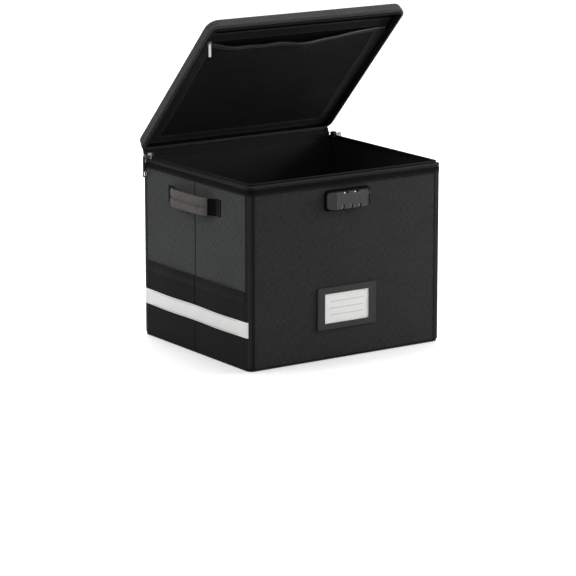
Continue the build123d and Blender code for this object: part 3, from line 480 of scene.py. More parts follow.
class Piece:
    """Grids of points in millimetres, gathered into one mesh with a UV in millimetres."""

    def __init__(self):
        self.points, self.quads, self.uvs, self.count = [], [], [], 0

    def add(self, points, quads, uvs):
        """Loose points with quads that count from the first of them."""
        self.points.append(points.reshape(-1, 3))
        self.uvs.append(uvs.reshape(-1, 2))
        self.quads.append(quads.reshape(-1, 4) + self.count)
        self.count += len(self.points[-1])
        return self

    def grid(self, points, uvs):
        """Quads over the last two rows and columns of a grid of points."""
        index = np.arange(points[..., 0].size).reshape(points.shape[:-1])
        near, far = index[..., :-1, :], index[..., 1:, :]
        quads = [near[..., :-1], near[..., 1:], far[..., 1:], far[..., :-1]]
        return self.add(points, np.stack(quads, -1), np.broadcast_to(uvs, points.shape[:-1] + (2,)))

    def cap(self, loop):
        """Closes a ring of points, with rungs from one of its halves to the other."""
        loop = loop[:-1] if len(loop) % 2 else np.concatenate([loop[:-1], loop[-2:-1]])
        half = len(loop) // 2
        rungs = np.stack([loop[:half], loop[half:][::-1]])
        return self.grid(rungs, rungs[..., [0, 2]] + rungs[..., [1, 1]])

    def rod(self, grid, along, around):
        """Rings of points from end to end, with both ends closed."""
        return self.grid(grid, uv_grid(along, around)).cap(grid[0]).cap(grid[-1])

    def moved(self, change):
        """Every point put through a change of place."""
        self.points = [change(p) for p in self.points]
        return self

    def make(self, name, material="thread", body="box", slot="binding", replaces=(), sharp=38.0):
        """The mesh, with doubles merged, faces outwards, finish set and body named."""
        points, quads = np.concatenate(self.points) * MM, np.concatenate(self.quads)
        uvs = np.concatenate(self.uvs)
        mesh = bpy.data.meshes.new(name)
        mesh.vertices.add(len(points))
        mesh.vertices.foreach_set("co", points.astype(np.float32).ravel())
        mesh.loops.add(quads.size)
        mesh.loops.foreach_set("vertex_index", quads.astype(np.int32).ravel())
        mesh.polygons.add(len(quads))
        mesh.polygons.foreach_set("loop_start", np.arange(0, quads.size, 4, dtype=np.int32))
        layer = mesh.uv_layers.new(name="UVMap")
        layer.data.foreach_set("uv", uvs[quads.ravel()].astype(np.float32).ravel())
        mesh.update(calc_edges=True)
        weld(mesh, 2e-6, 1e-6)
        mesh.shade_smooth()
        mesh.set_sharp_from_angle(angle=radians(sharp))
        mesh.materials.append(MATERIAL[material])
        made = added(name, mesh)
        if replaces:
            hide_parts(*replaces)
        if body:
            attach(made, body)
        return made


def line(start, end, count=8, knots=None):
    """A straight run of a path: points, and normals to its right."""
    t = np.linspace(0, 1, count + 1) if knots is None else np.asarray(knots)
    start, end = np.array(start, float), np.array(end, float)
    way = unit(end - start)
    return start + (end - start) * t[:, None], np.tile([way[1], -way[0]], (len(t), 1))


def bend(x, y, radius, first, last, count=8):
    """An arc of a path about (x, y), between two angles in degrees."""
    turn = np.radians(np.linspace(first, last, count + 1))
    normals = np.stack([np.cos(turn), np.sin(turn)], -1)
    return np.array([x, y]) + radius * normals, normals


def arc(out, height, radius, first, last, count):
    """Points of a profile round an arc."""
    return [tuple(p) for p in bend(out, height, radius, first, last, count)[0]]


def joined(*parts):
    """Runs and arcs end to end: points, normals, and the distance gone."""
    points, normals = (np.concatenate([parts[0][i]] + [p[i][1:] for p in parts[1:]]) for i in (0, 1))
    return points, normals, distance(points)


def side_run(way, low_y, high_y, count):
    """A straight path along a side wall, with its normals away from the box."""
    ends = [(way * SIDE_X, low_y), (way * SIDE_X, high_y)]
    return joined(line(*ends[::way], count))


def finer(path, step):
    """The same path with points at an even small step."""
    points, normals, run = path
    at = np.linspace(0, run[-1], int(run[-1] / step) + 1)
    return sampled(points, run, at), unit(sampled(normals, run, at)), at


def side_knots(length):
    """Shares along a side wall, close together at the fold in its middle."""
    near = np.array([-9.0, -6, -4, -2.5, -1.5, -0.9, -0.5, 0, 0.5, 0.9, 1.5, 2.5, 4, 6, 9])
    even = np.linspace(0, 1, 33)
    even = even[np.abs(even - 0.5) * length > 10]
    return np.sort(np.concatenate([even, 0.5 + near / length]))


def plan(half_x, half_y, radius, middle=0.0):
    """Round a rounded rectangle from the middle of its rear, by the left side."""
    x, y = half_x - radius, half_y - radius
    low, high = middle - y, middle + y
    rear, front = middle + half_y, middle - half_y
    side = side_knots(2 * y)
    return joined(
        line((0, rear), (-x, rear), 22), bend(-x, high, radius, 90, 180),
        line((-half_x, high), (-half_x, low), knots=side), bend(-x, low, radius, 180, 270),
        line((-x, front), (x, front), 44), bend(x, low, radius, 270, 360),
        line((half_x, low), (half_x, high), knots=side), bend(x, high, radius, 0, 90),
        line((x, rear), (0, rear), 22))


BODY_PLAN = plan(SIDE_X, HALF_Y, CORNER_R)
LID_PLAN = plan(LID_X, LID_Y, LID_R)
ZIP_PATH = joined(
    line((-SIDE_X, ZIP_END_Y), (-SIDE_X, -IN_Y), 30), bend(-IN_X, -IN_Y, CORNER_R, 180, 270),
    line((-IN_X, -HALF_Y), (IN_X, -HALF_Y), 36), bend(IN_X, -IN_Y, CORNER_R, 270, 360),
    line((SIDE_X, -IN_Y), (SIDE_X, ZIP_END_Y), 30))


def wall_path(side):
    """Along one wall, from the middle of one rounded corner to the middle of the next."""
    x0, y0, x1, y1, out_x, out_y, first = {
        "left": (-1, 1, -1, -1, -1, 0, 135), "front": (-1, -1, 1, -1, 0, -1, 225),
        "right": (1, -1, 1, 1, 1, 0, 315), "rear": (1, 1, -1, 1, 0, 1, 45)}[side]
    corners = [(x * IN_X, y * IN_Y) for x, y in ((x0, y0), (x1, y1))]
    start, end = [(x + out_x * CORNER_R, y + out_y * CORNER_R) for x, y in corners]
    half = (first + 45) % 360
    return joined(bend(*corners[0], CORNER_R, first, first + 45, 4),
                  line(start, end, 48, side_knots(2 * IN_Y) if out_x else None),
                  bend(*corners[1], CORNER_R, half, half + 45, 4))


def on(path, pairs):
    """Rows of a profile that all follow one path, from (out, height) pairs."""
    return [(path, out, height) for out, height in pairs]


def bar(out0, out1, low, high, radius, count=3):
    """Closed profile: a rectangle with rounded corners, outer side first."""
    pairs = []
    for out, height, first in ((out1 - radius, low + radius, -90), (out1 - radius, high - radius, 0),
                               (out0 + radius, high - radius, 90), (out0 + radius, low + radius, 180)):
        pairs += arc(out, height, radius, first, first + 90, count)
    return pairs + [pairs[0]]


def tall_bar(out0, out1, low, high, count):
    """Closed profile of a thin wall, with steps up its outside and down its inside."""
    z = np.linspace(low, high, count + 1)
    return [(out1, h) for h in z] + [(out0, h) for h in z[::-1]] + [(out1, z[0])]


def carry(piece, rows, swell=0.0, closed=False):
    """A closed profile carried along a path. Each point is the path's own, moved out
    along its normal by the row's distance plus the swell, at the row's height."""
    first = rows[0][0]
    out = np.array([r[1] for r in rows]) + swell + np.zeros((len(first[0]), 1))
    points, normals = (np.stack([r[0][i] for r in rows], 1) for i in (0, 1))
    grid = raised(points + normals * out[..., None], np.array([r[2] for r in rows], float))
    girth = distance(grid[len(grid) // 2])
    if closed:
        return piece.grid(grid, uv_grid(first[2], girth))
    return piece.rod(grid, first[2], girth)


def disc(piece, path, out, height, crown=0.0, rings=12, phase=0.0, wave=0.0):
    """A face inside a path: its rings shrink to the middle, which stands crown higher."""
    edge = path[0] + path[1] * out
    middle = (edge.min(0) + edge.max(0)) / 2
    half = (edge.max(0) - edge.min(0)) / 2
    share = np.linspace(1, 0, rings + 1)[:, None, None]
    flat = middle + (edge - middle) * share
    near = (flat - middle) / half
    rise = (1 - near[..., 0] ** 2) * (1 - near[..., 1] ** 2) * eased((1 - share[..., 0]) * 6)
    z = height + rise * (crown + wave * ripple(flat[..., 0], flat[..., 1], phase))
    return piece.grid(raised(flat, z), flat)


def skin(piece, pairs, path):
    """An open profile carried round a closed path."""
    points, normals, run = path
    pairs = np.array(pairs, float)
    flat = points[:, None] + normals[:, None] * pairs[:, :1]
    return piece.grid(raised(flat, pairs[:, 1]), uv_grid(run, distance(pairs)))


def laid(path, out, low, high, crown=0.0):
    """A flat sheet inside a path, closed all round."""
    piece = skin(Piece(), [(out, low), (out, high)], path)
    return disc(disc(piece, path, out, low), path, out, high, crown)


def coiled(run, pitch, turn):
    """A zip's coil: the radius of its cord dips in a helix, once every pitch."""
    return 0.85 + 0.15 * np.cos(2 * pi * run[:, None] / pitch + turn)


def teeth(path, out, height, radius=1.5, pitch=1.8, sides=8):
    """A zip's coil along a path."""
    points, normals, run = finer(path, pitch / 4)
    turn = np.linspace(0, 2 * pi, sides + 1)
    size = radius * coiled(run, pitch, turn)
    flat = points[:, None] + normals[:, None] * (out + size * np.cos(turn))[..., None]
    return Piece().rod(raised(flat, height + size * np.sin(turn)), run, radius * turn)


def tube(points, radius, sides=10, pitch=0.0):
    """A cord along a line that runs mostly in X: a circle in Y and Z at each point."""
    run = distance(points)
    turn = np.linspace(0, 2 * pi, sides + 1)
    size = radius * (coiled(run, pitch, turn) if pitch else np.ones((len(points), sides + 1)))
    ring = xyz(0.0, size * np.cos(turn), size * np.sin(turn))
    return Piece().rod(points[:, None] + ring, run, radius * turn)


def stitches(piece, points, normals, pitch=4.4, length=3.1, width=0.8, height=0.4):
    """Stitches along a line of points: six-sided beads with pointed ends."""
    points = np.asarray(points, float)
    normals = np.broadcast_to(np.asarray(normals, float), points.shape)
    run = distance(points)
    count = max(int(run[-1] / pitch), 1)
    at = (np.arange(count) + 0.5) * run[-1] / count
    along = unit(sampled(points, run, at + 0.2) - sampled(points, run, at - 0.2))
    up = unit(sampled(normals, run, at))
    ends = np.array([-0.5, -0.28, 0.28, 0.5]) * length
    fat = np.array([0.0, 1, 1, 0])[:, None]
    turn = np.linspace(0, 2 * pi, 7)
    grid = sampled(points, run, at)[:, None, None]
    for axis, size in ((along, ends[:, None] + 0 * turn),
                       (np.cross(up, along), fat * np.cos(turn) * width / 2),
                       (up, fat * np.sin(turn) * height)):
        grid = grid + axis[:, None, None] * size[..., None]
    return piece.grid(grid, uv_grid(ends, turn * width / 2))


def rail(path, out, height):
    """The line of points at one distance out from a path and one height, with its normals."""
    return raised(path[0] + path[1] * out, height), raised(path[1], 0.0)


# Body: walls, base, rim and corners

def wall_swell(path, z, side):
    """How far a wall's cloth stands in or out: slow shallow waves that die at its edges
    and where the label and lock sit, and on the side walls a soft fold down the middle."""
    points, _, run = path
    edge = eased(np.minimum(run, run[-1] - run) / 40)[:, None]
    edge = edge * eased((z - WALL_FOOT_Z) / 30) * eased((WALL_TOP_Z - z) / 40)
    phase = {"front": 0.0, "right": 1.7, "rear": 3.1, "left": 4.4}[side]
    wave = 0.5 * edge * ripple(run[:, None], z, phase)
    if side == "front":
        x = points[:, :1]
        held = (np.exp(-(x / 75) ** 8 - ((z - LABEL_Z - 32) / 88) ** 8)
                + np.exp(-(x / 58) ** 8 - ((z - LOCK_Z) / 28) ** 8))
        wave = wave * (1 - held) - 0.12 * held
    if side in ("left", "right"):
        y = points[:, 1:]
        wave = wave - 1.1 * np.exp(-(y / 1.2) ** 2) - 0.3 * np.exp(-(y / 6.0) ** 2) * edge
    return wave


def make_walls():
    """Four cloth walls, each from corner to corner."""
    for side, boards in (("front", ["board_front"]), ("rear", ["board_rear"]),
                         ("left", ["board_left_front", "board_left_rear"]),
                         ("right", ["board_right_front", "board_right_rear"])):
        path = wall_path(side)
        pairs = tall_bar(-CLOTH_T, 0.0, WALL_FOOT_Z, WALL_TOP_Z, 34)
        out, z = np.array(pairs).T
        piece = carry(Piece(), on(path, pairs), wall_swell(path, z, side) * (out > -0.5))
        tone, width = ("grey", 0.342) if side in ("left", "right") else ("black", 0.406)
        made = piece.make(f"{side}_cloth", f"{tone}_canvas", "box", f"cloth_{tone}", [f"cloth_{side}"])


def make_fold_seams():
    """A sewn dark strip down the fold of each side wall, sunk in its groove; its black is painted shade in
    the crease.
    """
    seams = Piece()
    for way in (-1, 1):
        # The dark tape in the groove stands in for the crease's shade: painted shade
        carry(seams, on(side_run(way, -1.0, 1.0, 4), tall_bar(-1.15, -0.55, 8.0, BAND_FOOT_Z, 10)))
        column = [(way * (SIDE_X - 0.6), 0, z) for z in (8.0, 150.0, BAND_FOOT_Z)]
        stitches(seams, column, [way, 0, 0], 4.0, 2.8, 0.9, 0.35)
    seams.make("side_fold_seams_painted_shade", "edge_tape")


def make_base():
    """Cloth under the base, a corded seam round it, and the lining inside."""
    under = laid(BODY_PLAN, -3.95, 0.0, 1.5)
    made = under.make("base_cloth", "black_canvas", "box", "cloth_black", ["cloth_bottom"])

    cord = carry(Piece(), on(BODY_PLAN, arc(-1.5, 3.3, 2.35, -90, 270, 12)), closed=True)
    cord.make("base_cord", "edge_tape", "box", "binding", ["piping_bottom"])

    walls = carry(Piece(), on(BODY_PLAN, tall_bar(-5.6, -4.6, 4.5, 318.0, 20)), closed=True)
    made = walls.make("well_lining", "lining", "box", "lining", ["lining_walls"])

    floor = laid(BODY_PLAN, -5.65, 4.5, 5.5, 0.3)
    made = floor.make("well_floor", "lining", "box", "lining", ["lining_floor"])


def make_rim():
    """Folded band round the top edge: a flat leg, a groove and a round bead above it."""
    leg = [(0.0, 308.0), (2.0, 308.0), (2.5, 308.4), (2.65, 309.2), (2.25, 310.0), (2.65, 310.9),
           (2.85, 313.0), (2.8, 315.6), (2.5, 317.4), (1.75, 318.6)]
    back = [(-3.2, 324.0), (-3.7, 323.5), (-3.7, 320.0), (0.0, 320.0)]
    pairs = leg + arc(0.75, 321.75, 2.25, -58, 90, 8) + back + [leg[0]]
    band = carry(Piece(), on(BODY_PLAN, pairs), closed=True)
    made = band.make("rim_fold", "band_canvas", "box", "cloth_black", ["rim_band"])
    # Faces above 319 mm, the bead, take the lighter copy of the band's cloth: painted highlight on the top
    # edge
    made.data.materials.append(MATERIAL["bead_canvas_painted_highlight"])
    middles = np.empty(len(made.data.polygons) * 3, np.float32)
    made.data.polygons.foreach_get("center", middles)
    made.data.polygons.foreach_set("material_index", (middles[2::3] > 319.0 * MM).astype(np.int32))
    stitches(Piece(), *rail(BODY_PLAN, 2.3, 310.0)).make("rim_stitches")


def corner_path(x, y, first):
    """Round one upright corner, with a millimetre of straight run on each side."""
    curve = bend(x, y, CORNER_R, first, first + 90, 14)
    start, end = curve[0][0], curve[0][-1]
    (ax, ay), (bx, by) = curve[1][0], curve[1][-1]
    return joined(line(start + [ay, -ax], start, 2), curve, line(end, end + [-by, bx], 2))


def make_corners():
    """Folded strips over the corner seams: a rounded ridge down the middle between two
    grooves, and flanges that thin out at their edges."""
    strips, ridges, sewn = Piece(), Piece(), Piece()
    for x, y, first in ((-IN_X, IN_Y, 90), (-IN_X, -IN_Y, 180), (IN_X, -IN_Y, 270), (IN_X, IN_Y, 0)):
        path = corner_path(x, y, first)
        share = path[2] / path[2][-1]
        thin = eased(np.minimum(share, 1 - share) / 0.08) - 1
        pairs = tall_bar(0.0, 0.75, WALL_FOOT_Z, BAND_FOOT_Z, 22)
        outside = np.array(pairs)[:, 0] > 0.5
        carry(strips, on(path, pairs), (0.45 * thin)[:, None] * outside)
        for place in (2, len(share) - 3):
            point, normal = path[0][place], path[1][place]
            column = [(*(point + normal * 0.75), z) for z in (8.0, 100.0, 200.0, 306.0)]
            stitches(sewn, column, [*normal, 0])
        short = joined(bend(x, y, CORNER_R, first + 29, first + 61, 12))
        across = short[2] / short[2][-1]
        pairs = tall_bar(0.7, 0.85, WALL_FOOT_Z + 0.2, BAND_FOOT_Z, 22)
        outside = np.array(pairs)[:, 0] > 0.8
        carry(ridges, on(short, pairs), (1.35 * np.sin(pi * across) ** 0.6)[:, None] * outside)
    strips.make("corner_tapes", "edge_tape", "box", "binding", ["corner_bindings"])
    # Ridges in the lighter tape: painted highlight down the raised fold
    ridges.make("corner_ridges", "ridge_tape_painted_highlight")
    sewn.make("corner_stitches")


def make_zip():
    """Tape and coil round the rim of the body, and the same inside the lid's edge; a
    plain tape behind the rear rim, and a folded loop of tape at each end of the zip."""
    rear = joined(line((SIDE_X, ZIP_END_Y + 0.1), (SIDE_X, IN_Y), 1), bend(IN_X, IN_Y, CORNER_R, 0, 90),
                  line((IN_X, HALF_Y), (-IN_X, HALF_Y), 40), bend(-IN_X, IN_Y, CORNER_R, 90, 180),
                  line((-SIDE_X, IN_Y), (-SIDE_X, ZIP_END_Y + 0.1), 1))
    facing = carry(Piece(), on(rear, bar(-4.6, -3.78, 300.0, 323.4, 0.3, 2)))
    facing.make("rear_facing", "zip_tape", "box", "tape")
    loop = ([(-6.0, 324.4)] + arc(-1.0, 327.2, 2.8, -90, 90, 8) + [(-6.0, 330.0), (-6.0, 329.2)]
            + arc(-1.0, 327.2, 2.0, 90, -90, 8) + [(-6.0, 325.2), (-6.0, 324.4)])
    ends = Piece()
    for way in (-1, 1):
        carry(ends, on(side_run(way, ZIP_END_Y + 2.2, ZIP_END_Y + 8.2, 6), loop))
    # Loops in the lighter tape: painted highlight on their raised folds
    ends.make("zip_end_loops", "ridge_tape_painted_highlight", "box", "tape")
    for name, body, low, high, coil_z in (("body", "box", 310.0, 326.8, 327.3),
                                          ("lid", "lid", 333.2, 342.0, 332.7)):
        tape = carry(Piece(), on(ZIP_PATH, bar(-4.6, -3.8, low, high, 0.3, 2)))
        coil = teeth(ZIP_PATH, TAPE_OUT, coil_z)
        for piece in (tape, coil) if body == "lid" else ():
            piece.moved(lid_up)
        tape.make(f"{name}_tape", "zip_tape", body, "tape", [f"{name}_zip_tape"])
        coil.make(f"{name}_coil", "coil", body, "coil", [f"{name}_zip_coil"], 60)


# Side pockets, stripes and handles

def pocket_out(y, z):
    """How far a side pocket stands out at (y, z): a low swell over each half, fuller
    towards its open top."""
    share = np.clip((np.abs(y) - 1.4) / (POCKET_END - 1.4), 0, 1)
    full = 0.45 + 0.55 * eased((z - 10.0) / 110.0)
    lip = 0.7 * eased((z - 118.0) / 22.0) * np.sin(pi * share)
    return 0.05 + 3.0 * np.sin(pi * share) ** 2 * full + lip


def make_pockets():
    """Patch pockets with a folded hem, the light stripe and their stitching."""
    hem = [(1.2, 125.0), (1.62, 125.3), (1.7, 126.4), (1.45, 127.2), (1.7, 128.0), (1.75, 134.0),
           (1.7, 138.6), (1.4, 139.6), (0.85, 140.0), (0.3, 139.6), (0.0, 138.6)]
    pairs = [(POCKET_T, z) for z in np.linspace(WALL_FOOT_Z, 124.6, 22)] + hem
    pairs += [(0.0, z) for z in np.linspace(137.0, WALL_FOOT_Z, len(pairs))] + [pairs[0]]
    z = np.array(pairs)[:, 1]
    for side, way in (("left", -1), ("right", 1)):
        pocket, sewn = Piece(), Piece()
        for y0, y1 in ((-POCKET_END + 0.2, -0.9), (0.9, POCKET_END - 0.2)):
            path = side_run(way, y0, y1, 26)
            y = path[0][:, 1]
            carry(pocket, on(path, pairs), pocket_out(y[:, None], z))
            for height, out in ((127.2, 1.5), (123.0, 1.2)):
                stitches(sewn, xyz(way * (SIDE_X + pocket_out(y, height) + out), y, height), [way, 0, 0])
        made = pocket.make(f"{side}_pocket", "pocket_canvas", "box", "cloth_black", [f"side_pocket_{side}"])
        make_stripe(side, sewn)
        sewn.make(f"{side}_pocket_stitches")


def make_stripe(side, sewn):
    """Light band across the pocket: it follows the pocket, then the corner strips."""
    path = wall_path(side)
    y = path[0][:, 1:]
    on_pocket = eased((POCKET_END + 1.5 - np.abs(y)) / 3.0)

    def out_at(z):
        return on_pocket * (pocket_out(y, z) + POCKET_T + 0.05) + (1 - on_pocket) * 1.25

    pairs = bar(0.0, 0.6, STRIPE_Z, STRIPE_TOP_Z, 0.25, 2)
    band = carry(Piece(), on(path, pairs), out_at(np.array(pairs)[:, 1]))
    made = band.make(f"{side}_stripe", "reflective", "box", "stripe", [f"stripe_{side}"])
    for height in (STRIPE_Z + 2.2, STRIPE_TOP_Z - 2.2):
        row, normals = rail(path, out_at(height) + 0.6, height)
        stitches(sewn, row[6:-6], normals[6:-6])


def handle_bow(y):
    """How far a handle stands out from the wall: one less the sixth power of the share
    of its half length, squared."""
    return BOW_OUT * (1 - np.minimum(np.abs(y) / BOW_HALF, 1) ** 6) ** 2


def handle_path(way, half, count):
    """Along a handle, from one end to the other, with normals out from the wall."""
    y = np.linspace(-half, half, count + 1) * way
    points = np.stack([way * (SIDE_X + 0.05 + handle_bow(y)), y], -1)
    along = unit(np.gradient(points, axis=0))
    return points, np.stack([along[:, 1], -along[:, 0]], -1), distance(points)


def make_handles():
    """Webbing straps sewn down at both ends, each with a padded grip round its middle."""
    low, high = HANDLE_Z - STRAP_HALF_Z, HANDLE_Z + STRAP_HALF_Z
    for side, way in (("left", -1), ("right", 1)):
        path = handle_path(way, STRAP_HALF_Y, 56)
        strap = carry(Piece(), on(path, bar(0.0, STRAP_T, low, high, 0.5)))
        made = strap.make(f"{side}_strap", "webbing", "box", "webbing", [f"handle_strap_{side}"])
        grip = make_grip(way)
        made = grip.make(f"{side}_grip", "grip_canvas", "box", "grip_cloth", [f"handle_grip_{side}"], 50)
        sewn = Piece()
        for end in (-1, 1):
            corners = [(way * (SIDE_X + 1.7), end * y, z)
                       for y in (73.5, 82.5) for z in (low + 2.5, high - 2.5)]
            for pair in combinations(corners, 2):
                stitches(sewn, pair, [way, 0, 0], 3.4, 2.5, 0.8, 0.4)
        y = np.linspace(-55.0, 55.0, 48)
        for offset in (-1.6, 1.6):
            row = xyz(way * (SIDE_X + 0.05 + handle_bow(y) + STRAP_T + 2.35), y, HANDLE_Z + offset)
            stitches(sewn, row, [way, 0, 0], 4.2, 2.8, 0.8, 0.35)
        sewn.make(f"{side}_handle_stitches")


def make_grip(way):
    """Grip pad: an oval wrap, crowned above and below a seam along its middle, with
    its two ends drawn in round the strap."""
    points, normals, run = handle_path(way, GRIP_HALF_Y, 48)
    turn = np.radians(np.linspace(-90, 270, 41))
    c, s = np.cos(turn), np.sin(turn)
    high = GRIP_HALF_Z * np.sign(s) * np.abs(s) ** 0.75
    deep = GRIP_T * np.sign(c) * np.abs(c) ** 0.45
    outer = c > 0
    seam = 1.3 * np.exp(-(high / 1.2) ** 2) * outer
    crown = 0.45 * np.sin(pi * np.abs(high) / GRIP_HALF_Z) * outer
    drawn = eased(np.minimum(run, run[-1] - run) / 7.0)[:, None]
    out = 0.8 + (deep - seam + crown) * (0.80 + 0.20 * drawn)
    flat = points[:, None] + normals[:, None] * out[..., None]
    grid = raised(flat, HANDLE_Z + high * (0.97 + 0.03 * drawn))
    return Piece().rod(grid, run, distance(np.stack([deep, high], -1)))


# Lid

def make_lid():
    """Outer cloth with its rounded skirt, the lining tray, and the folded edge strip."""
    skirt = [(-1.5, LID_FOOT_Z), (-0.2, LID_FOOT_Z), (0.0, 338.0), (0.35, 341.0), (0.4, 344.0)]
    cloth = skin(Piece(), skirt + arc(-4.2, 347.8, 4.2, 0, 90, 6), LID_PLAN)
    disc(cloth, LID_PLAN, -4.2, LID_TOP_Z, 1.2, 16, 0.8, 0.7)
    skin(cloth, [(-1.5, LID_FOOT_Z)] + arc(-4.7, 347.3, 3.2, 0, 90, 6), LID_PLAN)
    disc(cloth, LID_PLAN, -4.7, 350.5)
    nodes = ["lid_shell", "lid_edge_strip"]
    # The lid's cloth is painted lighter than the walls' black canvas: painted light
    made = cloth.moved(lid_up).make("lid_cloth", "lid_canvas_painted_light", "lid", "cloth_black", nodes)

    inner = [(-2.8, LID_FOOT_Z), (-3.8, LID_FOOT_Z), (-3.8, 340.0)] + arc(-5.8, 344.5, 2.0, 0, 90, 6)
    tray = skin(Piece(), inner, BODY_PLAN)
    disc(tray, BODY_PLAN, -5.8, LID_CEILING, -0.2)
    skin(tray, [(-2.8, LID_FOOT_Z), (-2.8, 346.3), (-4.0, 347.5)], BODY_PLAN)
    disc(tray, BODY_PLAN, -4.0, 347.5)
    made = tray.moved(lid_up).make("lid_tray_lining", "lid_lining", "lid", "lining", ["lid_lining"])

    rows = (on(BODY_PLAN, [(-3.8, 336.0), (-3.8, 335.2), (-3.5, 334.9)])
            + on(LID_PLAN, [(-0.6, 334.9), (0.3, 335.15), (0.75, 335.8), (0.85, 337.0), (0.9, 340.6),
                            (0.55, 341.1), (0.85, 341.7), (0.7, 342.6), (0.35, 342.9), (0.0, 342.6),
                            (0.0, 336.4)])
            + on(BODY_PLAN, [(-3.8, 336.0)]))
    edge = carry(Piece(), rows, closed=True)
    # The edge strip takes the same lighter lid cloth: painted light
    edge.moved(lid_up).make("lid_edge_fold", "lid_canvas_painted_light", "lid", "cloth_black", ["lid_binding"])

    sewn = stitches(Piece(), *rail(LID_PLAN, 0.6, 341.1))
    stitches(sewn, rail(LID_PLAN, -7.5, 352.3)[0], [0, 0, 1])
    sewn.moved(lid_up).make("lid_stitches", body="lid")


def round_rear(x, y, radius, out):
    """Along the rear at one distance out, from part of one corner to part of the other."""
    path = joined(bend(x - radius, y - radius, radius, 44, 90, 10),
                  line((x - radius, y), (radius - x, y), 48),
                  bend(radius - x, y - radius, radius, 90, 136, 10))
    return path[0] + path[1] * out


def make_hinge():
    """One strip of cloth from the rim band to the lid's skirt, curved over the fold. It
    turns a little way round both rear corners. Each line across it runs up the body,
    along a curve pulled towards the fold, and up the lid."""
    body_flat, lid_flat = round_rear(SIDE_X, HALF_Y, CORNER_R, 3.5), round_rear(LID_X, LID_Y, LID_R, 1.42)
    body = [raised(body_flat, z) for z in (316.0, 320.0, 323.5, 326.0)]
    lid = [lid_up(raised(lid_flat, z)) for z in (334.5, 336.0, 338.5, 341.0, 344.0)]
    fold = (body[-1] + lid[0]) / 2
    fold[:, 1:] += [-0.9, 0.9]
    curve = [body[-1] * (1 - t) ** 2 + 2 * fold * t * (1 - t) + lid[0] * t ** 2
             for t in np.linspace(0, 1, 10)[1:-1]]
    middle = np.stack(body + curve + lid, 1)
    normal = 0.48 * unit(np.cross(np.gradient(middle, axis=1), np.gradient(middle, axis=0)))
    grid = np.concatenate([middle + normal, (middle - normal)[:, ::-1], (middle + normal)[:, :1]], 1)
    cloth = Piece().rod(grid, distance(body_flat), distance(grid[len(grid) // 2]))
    nodes = ["hinge_strip_body", "hinge_strip_lid"]
    made = cloth.make("hinge_cloth", "edge_tape", None, "binding", nodes)
    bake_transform(made)
    stitches(Piece(), [(-190, 175.05, 318.5), (190, 175.05, 318.5)], [0, 1, 0]).make("hinge_stitches_body")
    sewn = stitches(Piece(), [(-184, 175.85, 342.0), (184, 175.85, 342.0)], [0, 1, 0])
    sewn.moved(lid_up).make("hinge_stitches_lid", body="lid")


def slit(x):
    """How far open the pocket's zip hangs at x: nothing at the slider, most past the
    middle, nothing at the far end, with slow waves on the way."""
    t = np.clip((x - NET_SLIDER_X - 9.0) / (163.0 - NET_SLIDER_X), 0, 1)
    return np.sin(pi * t ** 0.8) * (1.0 + 0.16 * np.sin(3.4 * pi * t + 0.6) + 0.07 * np.sin(9 * pi * t))


def limp(points):
    """The net's side of the pocket sags: open at the zip, and bellied over the net."""
    x, y, z = points[..., 0], points[..., 1], points[..., 2]
    near = slit(x) * np.exp(-(np.maximum(y - (NET_ZIP_Y + 2.0), 0) / 34.0) ** 2)
    inside = eased((BORDER_X - np.abs(x)) / 26.0) * eased((BORDER_HIGH_Y - y) / 40.0)
    belly = inside * eased((y + 112.0) / 60.0)
    curl = 1.0 + 0.5 * np.sin(x / 17.0) * np.sin(x / 47.0 + 1.0)
    sag = belly * (2.2 + 1.1 * ripple(x, y * 1.6, 2.0))
    return xyz(x, y + 14.0 * near, z - 5.5 * near * curl - sag)


def pocket_tape(low_y, high_y):
    """A flat tape beside the pocket's zip; the one on the net's side hangs with it."""
    x = np.linspace(-NET_ZIP_X, NET_ZIP_X, 90)
    loop = np.array([(low_y, 343.75), (high_y, 343.75), (high_y, 344.25), (low_y, 344.25), (low_y, 343.75)])
    steps = np.linspace(0, 1, 6)[:-1, None]
    rim = np.concatenate([a + (b - a) * steps for a, b in zip(loop, loop[1:])] + [loop[:1]])
    grid = xyz(x[:, None], rim[:, 0], rim[:, 1])
    return Piece().rod(limp(grid) if low_y > NET_ZIP_Y else grid, x, distance(rim))


